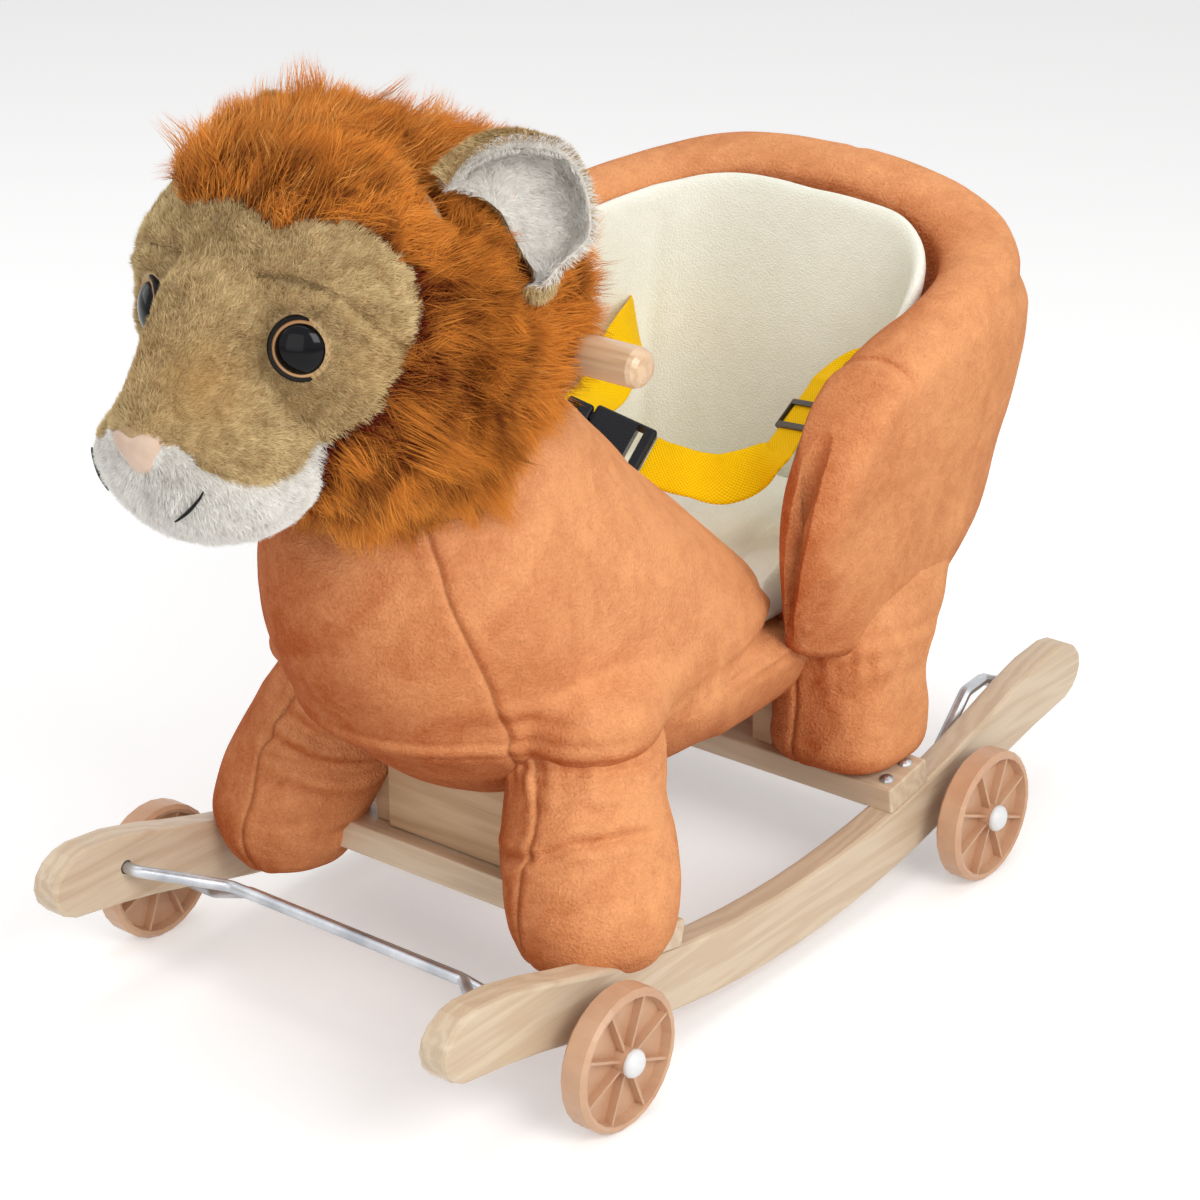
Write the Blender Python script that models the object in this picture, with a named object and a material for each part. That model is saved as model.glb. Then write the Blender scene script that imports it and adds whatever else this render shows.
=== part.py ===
"""Rocking lion with wheels: a stuffed lion with a padded tub seat on two bow rockers.

Each end has a folding wheel carrier. The lion faces -Y, up is +Z, and +X is the
lion's left. Units are metres, and the floor under the wheels is z = 0. The numbers
below are measured from the middle of the rockers, and main() moves everything at
the end so that the origin is under the middle of the whole toy.
"""
import math

import bmesh
import bpy
import numpy as np
from mathutils import Matrix, Vector

MM = 0.001
FRAME_SHIFT = 24.5 * MM  # from the middle of the rockers to the middle of the whole toy
GAP = 0.3 * MM          # clearance between pieces that touch
CUT = 0.4 * MM          # how far a cutter stands proud of the piece it copies

# Rockers: bows sawn from 19 mm board, with paddle ends
ROCKER_INNER_X = 135 * MM
ROCKER_THICK = 19 * MM
ROCKER_HALF_LENGTH = 318 * MM
ROCKER_MID_Z = 34.9 * MM
ROCKER_RISE = 50 * MM
ROCKER_SWEEP_LENGTH = 290 * MM
ROCKER_HALF_DEPTH = 20.3 * MM
ROCKER_EDGE = 2.6 * MM

# Cross bars, laid flat on the rising tops of the rockers
BAR_WIDTH = 40 * MM
BAR_THICK = 16 * MM
BAR_LAP = 1.2 * MM       # how far the bar hangs down between the rockers, over which it is notched
FOOT_SLOT = 22 * MM          # each foot is open below the bar that passes through it
BAR_NOTCH_X = 134.4 * MM
BAR_HALF_LENGTH = 153.5 * MM
BAR_FRONT_Y = (-152 * MM, -113 * MM)
BAR_REAR_Y = (138 * MM, 99 * MM)
SCREW_X = 144.5 * MM
SCREW_SPACING = 20 * MM
SCREW_HEAD_R = 4.6 * MM
SCREW_SHANK_R = 2.1 * MM

# Wheels and the two folding carriers
WHEEL_R = 42 * MM
WHEEL_RECESS_R = 37.4 * MM
WHEEL_INNER_X = 167.5 * MM
WHEEL_WIDTH = 17 * MM
WHEEL_WEB = 3.2 * MM
WHEEL_RIB = 1.7 * MM
WHEEL_RIBS = 8
HUB_R = 7.5 * MM
ROD_R = 4 * MM
AXLE_END_X = 188 * MM
BORE_CLEARANCE = 0.08 * MM
FRONT_AXLE = (-200 * MM, WHEEL_R)
REAR_AXLE = (168 * MM, WHEEL_R)
FRONT_HINGE = (-262 * MM, 82 * MM)
REAR_HINGE = (262 * MM, 83 * MM)
PIN_DEPTH = 10 * MM
PIN_CLEARANCE = 0.3 * MM

# Stuffed body
BODY_SIDES = 26
LEG_SIDES = 18
HEAD_CENTRE = (0, -238 * MM, 438 * MM)
HEAD_SIZE = (87 * MM, 68 * MM, 92 * MM)
MUZZLE_CENTRE = (0, -311 * MM, 390 * MM)
MUZZLE_SIZE = (58 * MM, 50 * MM, 47 * MM)
EYE_AT = (51 * MM, -296 * MM, 448 * MM)
MANE_CENTRE = (0, -176 * MM, 424 * MM)
MANE_SIZE = (121 * MM, 113 * MM, 121 * MM)
# Where the mane stands fuller or lies flatter: direction, share of its size, and breadth
MANE_SWELLS = (((0.66, -0.10, 0.74), 0.10, 0.50), ((0, 0.44, 0.90), -0.08, 0.50),
               ((0.80, 0.38, -0.45), -0.13, 0.55), ((0.25, -0.35, -0.90), 0.04, 0.40))
HANDLE_Y, HANDLE_Z = -139 * MM, 413 * MM
HANDLE_R = 11.2 * MM
HANDLE_HALF_LENGTH = 147 * MM

# Seat
SEAT_CORNER_Y = 100 * MM
SEAT_SQUARENESS = 4.0
SEAT_EDGE_R = 22 * MM
SEAT_ROLL = 17 * MM
SEAT_LEAN = 8 * MM
SEAT_FAR_RISE = 11 * MM  # how much fuller the far wing stands
LINING_THICK = 8 * MM
SEAT_FLOOR_Z = 172 * MM

# Lap belt
WEBBING_WIDTH = 30 * MM
WEBBING_THICK = 1.8 * MM

PALETTE = {
    "beech": ((0.76, 0.60, 0.42), 0.45, 0.0),
    "ply": ((0.70, 0.56, 0.40), 0.6, 0.0),
    "wheel": ((0.73, 0.42, 0.24), 0.4, 0.0),
    "cap": ((0.85, 0.85, 0.83), 0.35, 0.0),
    "steel": ((0.62, 0.62, 0.60), 0.35, 1.0),
    "plush": ((0.75, 0.28, 0.12), 0.9, 0.0),
    "mane": ((0.42, 0.13, 0.03), 0.95, 0.0),
    "face": ((0.50, 0.36, 0.20), 0.95, 0.0),
    "muzzle": ((0.78, 0.77, 0.75), 0.95, 0.0),
    "nose": ((0.72, 0.48, 0.36), 0.5, 0.0),
    "eye": ((0.02, 0.01, 0.01), 0.05, 0.0),
    "lining": ((0.80, 0.75, 0.62), 0.85, 0.0),
    "webbing": ((0.95, 0.62, 0.01), 0.7, 0.0),
    "buckle": ((0.01, 0.01, 0.015), 0.3, 0.0),
    "handle": ((0.60, 0.42, 0.26), 0.3, 0.0),
}


def clear_scene():
    """Remove what the default scene holds."""
    for obj in list(bpy.data.objects):
        bpy.data.objects.remove(obj, do_unlink=True)


def material(name):
    """The named finish, made once."""
    found = bpy.data.materials.get(name)
    if found:
        return found
    colour, rough, metal = PALETTE[name]
    made = bpy.data.materials.new(name)
    made.use_nodes = True
    shader = made.node_tree.nodes["Principled BSDF"]
    shader.inputs["Base Color"].default_value = (*colour, 1)
    shader.inputs["Roughness"].default_value = rough
    shader.inputs["Metallic"].default_value = metal
    made.diffuse_color = (*colour, 1)
    return made


def place(name, mesh, finish=None, pivot=(0, 0, 0), smooth=True):
    """Link a mesh as a named object, with its origin at the pivot."""
    mesh.transform(Matrix.Translation(-Vector(pivot)))
    if smooth:
        mesh.shade_smooth()
        mesh.set_sharp_from_angle(angle=math.radians(38))
    obj = bpy.data.objects.new(name, mesh)
    obj.location = pivot
    bpy.context.collection.objects.link(obj)
    if finish:
        mesh.materials.append(material(finish))
    else:
        obj.hide_render = True
        obj.display_type = 'WIRE'
    return obj


def cut(obj, *cutters):
    """Subtract each cutter from the object."""
    for cutter in cutters:
        mod = obj.modifiers.new(cutter.name, 'BOOLEAN')
        mod.operation = 'DIFFERENCE'
        mod.solver = 'EXACT'
        mod.object = cutter
    return obj


def loft(name, rings, flat_ends=False):
    """A closed skin through rings of points, with fanned or single-face ends."""
    rings = np.asarray(rings, float)
    count, sides = rings.shape[:2]
    verts = rings.reshape(-1, 3)
    i, j = np.meshgrid(np.arange(count - 1), np.arange(sides), indexing='ij')
    nxt = (j + 1) % sides
    quads = np.stack([i * sides + j, i * sides + nxt, (i + 1) * sides + nxt, (i + 1) * sides + j],
                     -1).reshape(-1, 4)
    low, high = len(verts), len(verts) + 1
    k = np.arange(sides)
    n = (k + 1) % sides
    last = (count - 1) * sides
    faces = [tuple(q) for q in quads.tolist()]
    if flat_ends:
        faces += [tuple(k[::-1].tolist()), tuple((last + k).tolist())]
    else:
        verts = np.vstack([verts, rings[0].mean(0), rings[-1].mean(0)])
        faces += [(low, b, a) for a, b in zip(k.tolist(), n.tolist())]
        faces += [(high, last + a, last + b) for a, b in zip(k.tolist(), n.tolist())]
    mesh = bpy.data.meshes.new(name)
    mesh.from_pydata(verts.tolist(), [], faces)
    face_out(mesh)
    return mesh


def in_triangles(mesh):
    """Split every face the same way each time, so that a skin and its enlarged copy never cross."""
    bm = bmesh.new()
    bm.from_mesh(mesh)
    bmesh.ops.triangulate(bm, faces=bm.faces, quad_method='FIXED')
    bm.to_mesh(mesh)
    bm.free()
    return mesh


def face_out(mesh):
    """Turn every face of a closed mesh outwards."""
    bm = bmesh.new()
    bm.from_mesh(mesh)
    bmesh.ops.recalc_face_normals(bm, faces=bm.faces)
    if bm.calc_volume(signed=True) < 0:
        bmesh.ops.reverse_faces(bm, faces=bm.faces)
    bm.to_mesh(mesh)
    bm.free()


def spline(x, knots, values):
    """A smooth curve through the knots, with no overshoot at its ends."""
    knots, values = np.asarray(knots, float), np.asarray(values, float)
    slope = np.gradient(values, knots)
    x = np.clip(x, knots[0], knots[-1])
    i = np.clip(np.searchsorted(knots, x, side='right') - 1, 0, len(knots) - 2)
    h = knots[i + 1] - knots[i]
    t = (x - knots[i]) / h
    a, b = values[i], values[i + 1]
    return ((2 * t**3 - 3 * t**2 + 1) * a + (t**3 - 2 * t**2 + t) * h * slope[i]
            + (3 * t**2 - 2 * t**3) * b + (t**3 - t**2) * h * slope[i + 1])


def box(name, low, high, bevel=0.0, segments=2):
    """A block between two corners, with softened edges."""
    low, high = np.asarray(low, float), np.asarray(high, float)
    bm = bmesh.new()
    bmesh.ops.create_cube(bm, size=1)
    bmesh.ops.scale(bm, vec=high - low, verts=bm.verts)
    if bevel:
        bmesh.ops.bevel(bm, geom=bm.edges[:], offset=bevel, segments=segments, affect='EDGES', profile=0.5)
    bmesh.ops.translate(bm, vec=(low + high) / 2, verts=bm.verts)
    mesh = bpy.data.meshes.new(name)
    bm.to_mesh(mesh)
    bm.free()
    return mesh


def turned(name, profile, sides, axis='X'):
    """Turn an open profile of (along, radius) about an axis, with closed ends."""
    angle = np.arange(sides) * 2 * math.pi / sides
    along, radius = np.array(profile).T
    ring = np.stack([np.broadcast_to(along[:, None], (len(along), sides)),
                     radius[:, None] * np.cos(angle), radius[:, None] * np.sin(angle)], -1)
    if axis == 'Z':
        ring = ring[..., [1, 2, 0]]
    return loft(name, ring)


def fillet_path(points, bend, steps=4):
    """Round the corners of a polyline with arcs of the given bend radius."""
    points = [np.asarray(p, float) for p in points]
    path = [points[0]]
    for before, here, after in zip(points, points[1:], points[2:]):
        u = (before - here) / np.linalg.norm(before - here)
        v = (after - here) / np.linalg.norm(after - here)
        half = math.acos(np.clip(u @ v, -1, 1)) / 2
        reach = bend / math.tan(half)
        centre = here + (u + v) / np.linalg.norm(u + v) * bend / math.sin(half)
        start, stop = here + u * reach - centre, here + v * reach - centre
        sweep = math.pi - 2 * half
        for k in range(steps + 1):
            t = k / steps
            path.append(centre + (math.sin((1 - t) * sweep) * start + math.sin(t * sweep) * stop)
                        / math.sin(sweep))
    path.append(points[-1])
    return np.array(path)


def rod(name, path, radius, sides=9):
    """A round bar along a path, with its frame carried without twist."""
    path = np.asarray(path, float)
    tangent = np.gradient(path, axis=0)
    tangent[0], tangent[-1] = path[1] - path[0], path[-1] - path[-2]
    tangent /= np.linalg.norm(tangent, axis=1, keepdims=True)
    side = np.cross(tangent[0], (0.3, 0.5, 0.8))
    angle = np.arange(sides) * 2 * math.pi / sides
    rings = []
    for point, along in zip(path, tangent):
        side = side - along * (side @ along)
        side /= np.linalg.norm(side)
        up = np.cross(along, side)
        rings.append(point + radius * (np.cos(angle)[:, None] * side + np.sin(angle)[:, None] * up))
    return loft(name, rings)


def mirrored(mesh, name):
    """The same shape on the other side of the lion."""
    twin = mesh.copy()
    twin.name = name
    twin.transform(Matrix.Scale(-1, 4, (1, 0, 0)))
    face_out(twin)
    return twin


def superellipse(angle, power):
    """Unit outline whose corners fill out as the power grows past 2."""
    c, s = np.cos(angle), np.sin(angle)
    return np.sign(c) * np.abs(c)**(2 / power), np.sign(s) * np.abs(s)**(2 / power)


# Rockers and cross bars

def rocker_centre(y):
    """Height of the bow's middle line: a sweep that levels out at the paddles."""
    lift = 1.24 * (np.abs(y) / ROCKER_SWEEP_LENGTH)**2
    return ROCKER_MID_Z + ROCKER_RISE * lift / (1 + (lift / 1.04)**6)**(1 / 6)


def rocker_top(y):
    """Height of the rocker's upper edge."""
    return rocker_centre(y) + ROCKER_HALF_DEPTH


def rocker_outline(grow=0.0):
    """Side view of a rocker as (y, z) points, front paddle to rear paddle and back."""
    cap = 27 * MM
    straight = ROCKER_HALF_LENGTH - cap
    y = np.linspace(-straight, straight, 23)
    swell = 1.6 * MM * np.exp(-((np.abs(y) - 262 * MM) / (34 * MM))**2)
    half = ROCKER_HALF_DEPTH + swell
    turn = np.linspace(0, math.pi, 9)[1:-1]
    end_half = half[-1]
    rear = np.stack([straight + cap * np.sin(turn), rocker_centre(straight) + end_half * np.cos(turn)], 1)
    top = np.stack([y, rocker_centre(y) + half], 1)
    bottom = np.stack([y[::-1], rocker_centre(y[::-1]) - half[::-1]], 1)
    front = rear[::-1] * (-1, 1)
    outline = np.vstack([top, rear, bottom, front])
    if grow:
        step = np.roll(outline, -1, 0) - np.roll(outline, 1, 0)
        outline = outline + grow * np.stack([-step[:, 1], step[:, 0]], 1) / np.linalg.norm(step, axis=1)[:, None]
    return outline


def rocker_mesh(name, grow=0.0):
    """The bow with rounded arrises, as rings across its thickness."""
    steps = [(0.0, ROCKER_EDGE), (0.7 * MM, 0.8 * MM), (ROCKER_EDGE, 0.0)]
    across = [(x, inset) for x, inset in steps]
    across += [(ROCKER_THICK - x, inset) for x, inset in reversed(steps)]
    rings = []
    for x, inset in across:
        loop = rocker_outline(grow - inset)
        x_at = ROCKER_INNER_X + x + (grow if x > ROCKER_THICK / 2 else -grow)
        rings.append(np.column_stack([np.full(len(loop), x_at), loop]))
    return loft(name, rings, flat_ends=True)


def axle_slot(name, hinge, axle):
    """The slot in a rocker's underside that the axle swings down out of."""
    radius = ROD_R + 0.35 * MM
    arm = np.subtract(axle, hinge)
    reach = np.linalg.norm(arm)
    start = math.atan2(arm[1], arm[0])
    away = -1 if hinge[0] < 0 else 1
    swing = np.linspace(0, math.radians(22), 7) * away
    cap = np.linspace(0, math.pi, 9)
    centre = np.array(hinge)
    spine = [centre + reach * np.array([math.cos(start + s), math.sin(start + s)]) for s in swing]
    radial = [(p - centre) / reach for p in spine]
    tangent = np.array([-math.sin(start), math.cos(start)]) * -away
    head = [spine[0] + radius * (math.cos(c) * radial[0] + math.sin(c) * tangent) for c in cap]
    inner = [p - radius * r for p, r in zip(spine[1:], radial[1:])]
    outer = [p + radius * r for p, r in zip(spine[1:], radial[1:])]
    loop = np.array(head + inner + outer[::-1])
    rings = [np.column_stack([np.full(len(loop), x), loop])
             for x in (ROCKER_INNER_X - 5 * MM, ROCKER_INNER_X + ROCKER_THICK + 5 * MM)]
    return loft(name, rings, flat_ends=True)


def bar_frame(span):
    """Origin and tilt of a cross bar that lies on the rocker tops at two stations."""
    a = np.array([span[0], rocker_top(span[0])])
    b = np.array([span[1], rocker_top(span[1])])
    along = (b - a) / np.linalg.norm(b - a)
    normal = np.array([along[1], -along[0]])
    if normal[1] < 0:
        normal = -normal
    middle = (a + b) / 2 + normal * (GAP + BAR_THICK / 2)
    return middle, math.atan2(along[1], along[0]) if along[0] > 0 else math.atan2(-along[1], -along[0]), normal


def bar_top(span, y):
    """Height of a cross bar's upper face at a given y."""
    middle, tilt, normal = bar_frame(span)
    face = middle + normal * BAR_THICK / 2
    return face[1] + math.tan(tilt) * (y - face[0])


def tilted_box(name, span, size, lift=0.0, bevel=0.0):
    """A block centred on a cross bar, turned with it."""
    middle, tilt, normal = bar_frame(span)
    mesh = box(name, -np.array(size) / 2, np.array(size) / 2, bevel)
    centre = middle + normal * lift
    mesh.transform(Matrix.Translation((0, centre[0], centre[1])) @ Matrix.Rotation(tilt, 4, 'X'))
    return mesh


def screw_points(span):
    """Where the screws stand on a cross bar: (x, y, z, tilt)."""
    middle, tilt, normal = bar_frame(span)
    along = np.array([math.cos(tilt), math.sin(tilt)])
    face = middle + normal * BAR_THICK / 2
    return [(sx * SCREW_X, *(face + along * sy * SCREW_SPACING / 2), tilt)
            for sx in (1, -1) for sy in (-1, 1)]


def screw_mesh(name, grow=0.0):
    """A round-headed screw with a plain shank, seen from its head along +Z."""
    r, s = SCREW_HEAD_R, SCREW_SHANK_R + grow
    if grow:
        return turned(name, [(-14.5 * MM, s), (4 * MM, s)], 8, 'Z')
    dome = [(GAP + 2.4 * MM * math.sin(a), r * math.cos(a)) for a in np.linspace(0, 1.2, 3)]
    return turned(name, [(-14 * MM, s), (GAP, s)] + dome, 10, 'Z')


# Wheels and carriers

def wheel_mesh(name):
    """A moulded wheel: rounded tread, deep rim, thin web, hub and ribs on both faces."""
    x0, x1 = WHEEL_INNER_X, WHEEL_INNER_X + WHEEL_WIDTH
    mid, web = (x0 + x1) / 2, WHEEL_WEB / 2
    bore = ROD_R + BORE_CLEARANCE
    rim = [(x0 + 2.2 * MM, WHEEL_R), (x1 - 2.2 * MM, WHEEL_R), (x1, WHEEL_R - 2.4 * MM),
           (x1 - 0.6 * MM, WHEEL_RECESS_R), (mid + web, WHEEL_RECESS_R - 1.2 * MM)]
    hub_out = x1 + 0.5 * MM
    outer = [(mid + web, HUB_R + 0.6 * MM), (hub_out, HUB_R), (hub_out, bore)]
    hub_in = x0 - 6 * MM
    inner = [(hub_in, bore), (hub_in, HUB_R), (mid - web, HUB_R + 0.6 * MM),
             (mid - web, WHEEL_RECESS_R - 1.2 * MM), (x0 + 0.6 * MM, WHEEL_RECESS_R),
             (x0, WHEEL_R - 2.4 * MM)]
    profile = np.array(rim + outer + inner)
    sides = 26
    angle = np.arange(sides) * 2 * math.pi / sides
    grid = np.stack([np.broadcast_to(profile[:, 0], (sides, len(profile))),
                     profile[:, 1] * np.cos(angle)[:, None], profile[:, 1] * np.sin(angle)[:, None]], -1)
    count = len(profile)
    i, j = np.meshgrid(np.arange(sides), np.arange(count), indexing='ij')
    ni, nj = (i + 1) % sides, (j + 1) % count
    faces = np.stack([i * count + j, i * count + nj, ni * count + nj, ni * count + j], -1).reshape(-1, 4)
    mesh = bpy.data.meshes.new(name)
    mesh.from_pydata(grid.reshape(-1, 3).tolist(), [], faces.tolist())
    face_out(mesh)
    return mesh


def rib_mesh(name):
    """The star of ribs that crosses both faces of the wheel, to be joined to it."""
    bm = bmesh.new()
    x0, x1 = WHEEL_INNER_X + 1.6 * MM, WHEEL_INNER_X + WHEEL_WIDTH - 1.6 * MM
    inner, outer = HUB_R - 1.2 * MM, WHEEL_RECESS_R + 1.0 * MM
    for k in range(WHEEL_RIBS):
        turn = Matrix.Rotation(2 * math.pi * (k + 0.5) / WHEEL_RIBS, 4, 'X')
        made = bmesh.ops.create_cube(bm, size=1)
        for v in made["verts"]:
            v.co = turn @ Vector((x0 if v.co.x < 0 else x1, v.co.y * WHEEL_RIB,
                                  inner if v.co.z < 0 else outer))
    mesh = bpy.data.meshes.new(name)
    bm.to_mesh(mesh)
    bm.free()
    return mesh


def cap_mesh(name):
    """A domed push cap over the end of the axle."""
    x0 = WHEEL_INNER_X + WHEEL_WIDTH + 0.9 * MM
    bore = ROD_R + GAP
    dome = [(x0 + 2.2 * MM + 4.2 * MM * math.sin(a), 6.6 * MM * math.cos(a)) for a in np.linspace(0, 1.3, 4)]
    return turned(name, [(AXLE_END_X + GAP, bore), (x0, bore), (x0, 6.6 * MM)] + dome, 14)


def axle_path_front():
    """The front axle rises from its wheels to a straight run beside the bail."""
    y, z = FRONT_AXLE
    return fillet_path([(-AXLE_END_X, y, z), (-127 * MM, y, z), (-80 * MM, -217 * MM, 73.2 * MM),
                        (80 * MM, -217 * MM, 73.2 * MM), (127 * MM, y, z), (AXLE_END_X, y, z)], 12 * MM)


def bail_path_front():
    """The front bail: pins in the rockers, splayed arms, and a straight run."""
    y, z = FRONT_HINGE
    pin = ROCKER_INNER_X + PIN_DEPTH - 1 * MM
    return fillet_path([(-pin, y, z), (-127 * MM, y, z), (-88 * MM, -225 * MM, 69.6 * MM),
                        (88 * MM, -225 * MM, 69.6 * MM), (127 * MM, y, z), (pin, y, z)], 9 * MM)


def axle_path_rear():
    """The rear axle is straight."""
    y, z = REAR_AXLE
    return np.array([(-AXLE_END_X, y, z), (AXLE_END_X, y, z)])


def bail_path_rear():
    """The rear bail: arms that hug the rockers, and a straight run above the axle."""
    y, z = REAR_HINGE
    pin = ROCKER_INNER_X + PIN_DEPTH - 1 * MM
    arm = 127.5 * MM
    side = [(arm, y, z), (arm, 240 * MM, 93.5 * MM), (arm, 220 * MM, 92 * MM),
            (arm, 174.5 * MM, 47 * MM)]
    left = [(-x, a, b) for x, a, b in side]
    return fillet_path([(-pin, y, z)] + left + side[::-1] + [(pin, y, z)], 6 * MM, 3)


# Stuffed body

TORSO_Z = np.array([106, 114, 128, 150, 167, 172, 178, 200, 230, 262, 300, 340, 364, 378]) * MM
TORSO_FRONT = np.array([-58, -94, -136, -172, -192, -198, -207, -221, -236, -242, -237, -217, -196, -172]) * MM
TORSO_REAR = np.array([96, 160, 190, 203, 203, 196, 116, 92, 62, 30, -10, -50, -78, -108]) * MM
TORSO_HALF = np.array([36, 60, 84, 102, 109, 110, 110, 111, 109, 106, 99, 86, 69, 42]) * MM


def torso_mesh(name, grow=0.0):
    """The barrel body: deep chest, back that slopes to the seat, and a seat shelf."""
    z = np.array([106, 110, 118, 130, 148, 164, 171.5, 172, 180, 200, 222, 246, 272, 300, 328, 352, 368,
                  378]) * MM
    front, rear = spline(z, TORSO_Z, TORSO_FRONT) - grow, spline(z, TORSO_Z, TORSO_REAR) + grow
    rear = np.where(z >= 172 * MM, np.minimum(rear, (116 * MM + grow) - 0.86 * (z - 178 * MM)), rear)
    rear = np.where(z < 172 * MM, spline(z, TORSO_Z[:5], TORSO_REAR[:5]) + grow, rear)
    half = spline(z, TORSO_Z, TORSO_HALF) + grow
    z = z + np.where(z > 168 * MM, grow, -grow)
    angle = np.arange(BODY_SIDES) * 2 * math.pi / BODY_SIDES
    # The plan is round at the chest and squarer at the hips, where the wings are sewn on
    hips = np.where(np.sin(angle) > 0, np.interp(z, [215 * MM, 300 * MM], [3.2, 2.05])[:, None], 2.05)
    cx, sy = superellipse(angle, hips)
    middle = np.minimum(front + 150 * MM, (front + rear) / 2)
    reach = np.where(sy > 0, (rear - middle)[:, None], (middle - front)[:, None])
    rings = np.stack([half[:, None] * cx, middle[:, None] + reach * sy,
                      np.broadcast_to(z[:, None], (len(z), BODY_SIDES))], -1)
    return loft(name, rings)


def limb_mesh(name, stations, power=2.0, grow=0.0, sides=LEG_SIDES):
    """A stuffed limb through stations of (z, x, y, half-width, half-length) in mm."""
    z, x, y, half_x, half_y = np.array(stations, float).T * MM
    fine = np.concatenate([z[:2], np.linspace(z[1], z[-1], 8)[1:]])
    centre_x, centre_y = spline(fine, z, x), spline(fine, z, y)
    half_x, half_y = spline(fine, z, half_x) + grow, spline(fine, z, half_y) + grow
    angle = np.arange(sides) * 2 * math.pi / sides
    cx, sy = superellipse(angle, power)
    fine[0] -= grow
    fine[-1] += grow
    return loft(name, np.stack([centre_x[:, None] + half_x[:, None] * cx, centre_y[:, None] + half_y[:, None] * sy,
                                np.broadcast_to(fine[:, None], (len(fine), sides))], -1))


FRONT_LEG = [(63, 119, -149, 29, 32), (70, 118, -149, 40, 42), (84, 115, -146, 47, 48), (112, 107, -138, 49, 49),
             (146, 96, -128, 47, 48), (178, 84, -113, 44, 45), (200, 76, -104, 38, 40), (214, 71, -98, 28, 30)]
REAR_LEG = [(80, 103, 124, 37, 36), (88, 103, 124, 43, 42), (110, 103, 124, 46, 45), (140, 101, 124, 45, 45),
            (165.5, 97, 124, 42, 45)]


def ellipsoid(name, centre, size, rows=14, sides=22, grow=0.0, shape=None):
    """A stuffed ball, swept about +Z, with an optional change of shape."""
    lat = np.linspace(-math.pi / 2, math.pi / 2, rows + 1)[1:-1]
    lon = np.arange(sides) * 2 * math.pi / sides
    unit = np.stack([np.cos(lat)[:, None] * np.cos(lon), np.cos(lat)[:, None] * np.sin(lon),
                     np.broadcast_to(np.sin(lat)[:, None], (len(lat), sides))], -1)
    points = unit * (np.array(size) + grow)
    if shape is not None:
        points = shape(unit, points)
    return in_triangles(loft(name, points + np.array(centre)))


def head_shape(unit, points):
    """Full cheeks, a flat forehead, and a chin drawn back under the muzzle."""
    out = points.copy()
    flat = np.maximum(np.hypot(unit[..., 0], unit[..., 1]), 1e-6)
    c, s = np.abs(unit[..., 0]) / flat, np.abs(unit[..., 1]) / flat
    out[..., :2] *= ((c**2.6 + s**2.6)**(-1 / 2.6))[..., None]
    out[..., 1] += 10 * MM * np.clip(-unit[..., 2], 0, 1)**2
    return out


def mane_shape(unit, points):
    """A mane that is deepest at the crown and the throat."""
    even = np.abs(unit) * (1, 0, 0) + unit * (0, 1, 1)
    swell = 1 + sum(share * np.exp(-np.sum((even - np.array(way))**2, -1) / breadth**2)
                    for way, share, breadth in MANE_SWELLS)
    out = points * swell[..., None]
    front = np.clip(-unit[..., 1], 0, 1)
    up = np.clip(unit[..., 2], 0, 1)
    out[..., 1] -= 50 * MM * up * front
    out[..., 2] += 20 * MM * up * front - 10 * MM * np.clip(unit[..., 1], 0, 1) * up
    return out


# Each ear is sewn along a bent line on the mane and opens outward and forward.
# Station: where it is sewn, its free rim, how hollow it is, and how far the back leaf stands past the rim.
EAR_STATIONS = [((76, -213, 515), (84, -221, 519), 1, 3), ((78, -209, 514), (87, -216, 525), 3, 7),
                ((81, -202, 511), (93, -205, 532), 7, 9), ((85, -197, 508), (100, -195, 535), 11, 8),
                ((88, -194, 505), (108, -182, 534), 14, 7), ((90, -192, 502), (116, -170, 529), 16, 4),
                ((92, -191, 500), (122, -163, 517), 17, 2), ((94, -190, 496), (125, -160, 498), 17, 2),
                ((96, -188, 490), (125, -163, 485), 13, 2), ((99, -185, 482), (119, -174, 475), 8, 2),
                ((103, -180, 471), (115, -182, 467), 4, 2), ((106, -177, 464), (112, -184, 464), 1, 2)]
EAR_OPENS = (0.83, -0.55, 0.07)
EAR_PIVOT = (-92 * MM, -191 * MM, 500 * MM)
EAR_LAID_BACK = 45


def ear_mesh(name, grow=0.0):
    """A cupped ear: a leaf sewn along a bent line, hollow in front and full behind."""
    opens = Vector(EAR_OPENS).normalized()
    rings = []
    for sewn, rim, hollow, over in EAR_STATIONS:
        sewn, rim = Vector(sewn) * MM, Vector(rim) * MM
        reach = (rim - sewn).length
        out = (rim - sewn) / reach
        back = -(opens - out * opens.dot(out)).normalized()
        ring = []
        for s in (0, 0.3, 0.62, 0.88, 1):
            dip = hollow * MM * 4 * s * (1 - s) * (0.6 + 0.4 * s)
            ring.append(sewn + out * (reach * s + (grow if s else -grow)) + back * (dip - grow))
        for s in (1, 0.75, 0.4, 0):
            dip = hollow * MM * 4 * s * (1 - s) * (0.6 + 0.4 * s)
            past = over * MM * s + (grow if s else -grow)
            ring.append(sewn + out * (reach * s + past) + back * (dip + (6 + 3 * (1 - abs(2 * s - 1))) * MM + grow))
        rings.append(ring)
    return in_triangles(loft(name, np.array(rings)))


def laid_back(mesh):
    """The right ear, turned back about the place where it is sewn, so that it lies along the mane."""
    mesh.transform(Matrix.Translation(EAR_PIVOT) @ Matrix.Rotation(-math.radians(EAR_LAID_BACK), 4, 'X')
                   @ Matrix.Translation(-Vector(EAR_PIVOT)))
    return mesh


# Seat

OUTER_Z = np.array([160, 172, 212, 260, 307, 375, 430]) * MM
OUTER_HALF = np.array([127, 131, 143, 150, 157, 160, 160]) * MM
OUTER_BACK = np.array([214, 222, 252, 272, 285, 290, 290]) * MM


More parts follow.
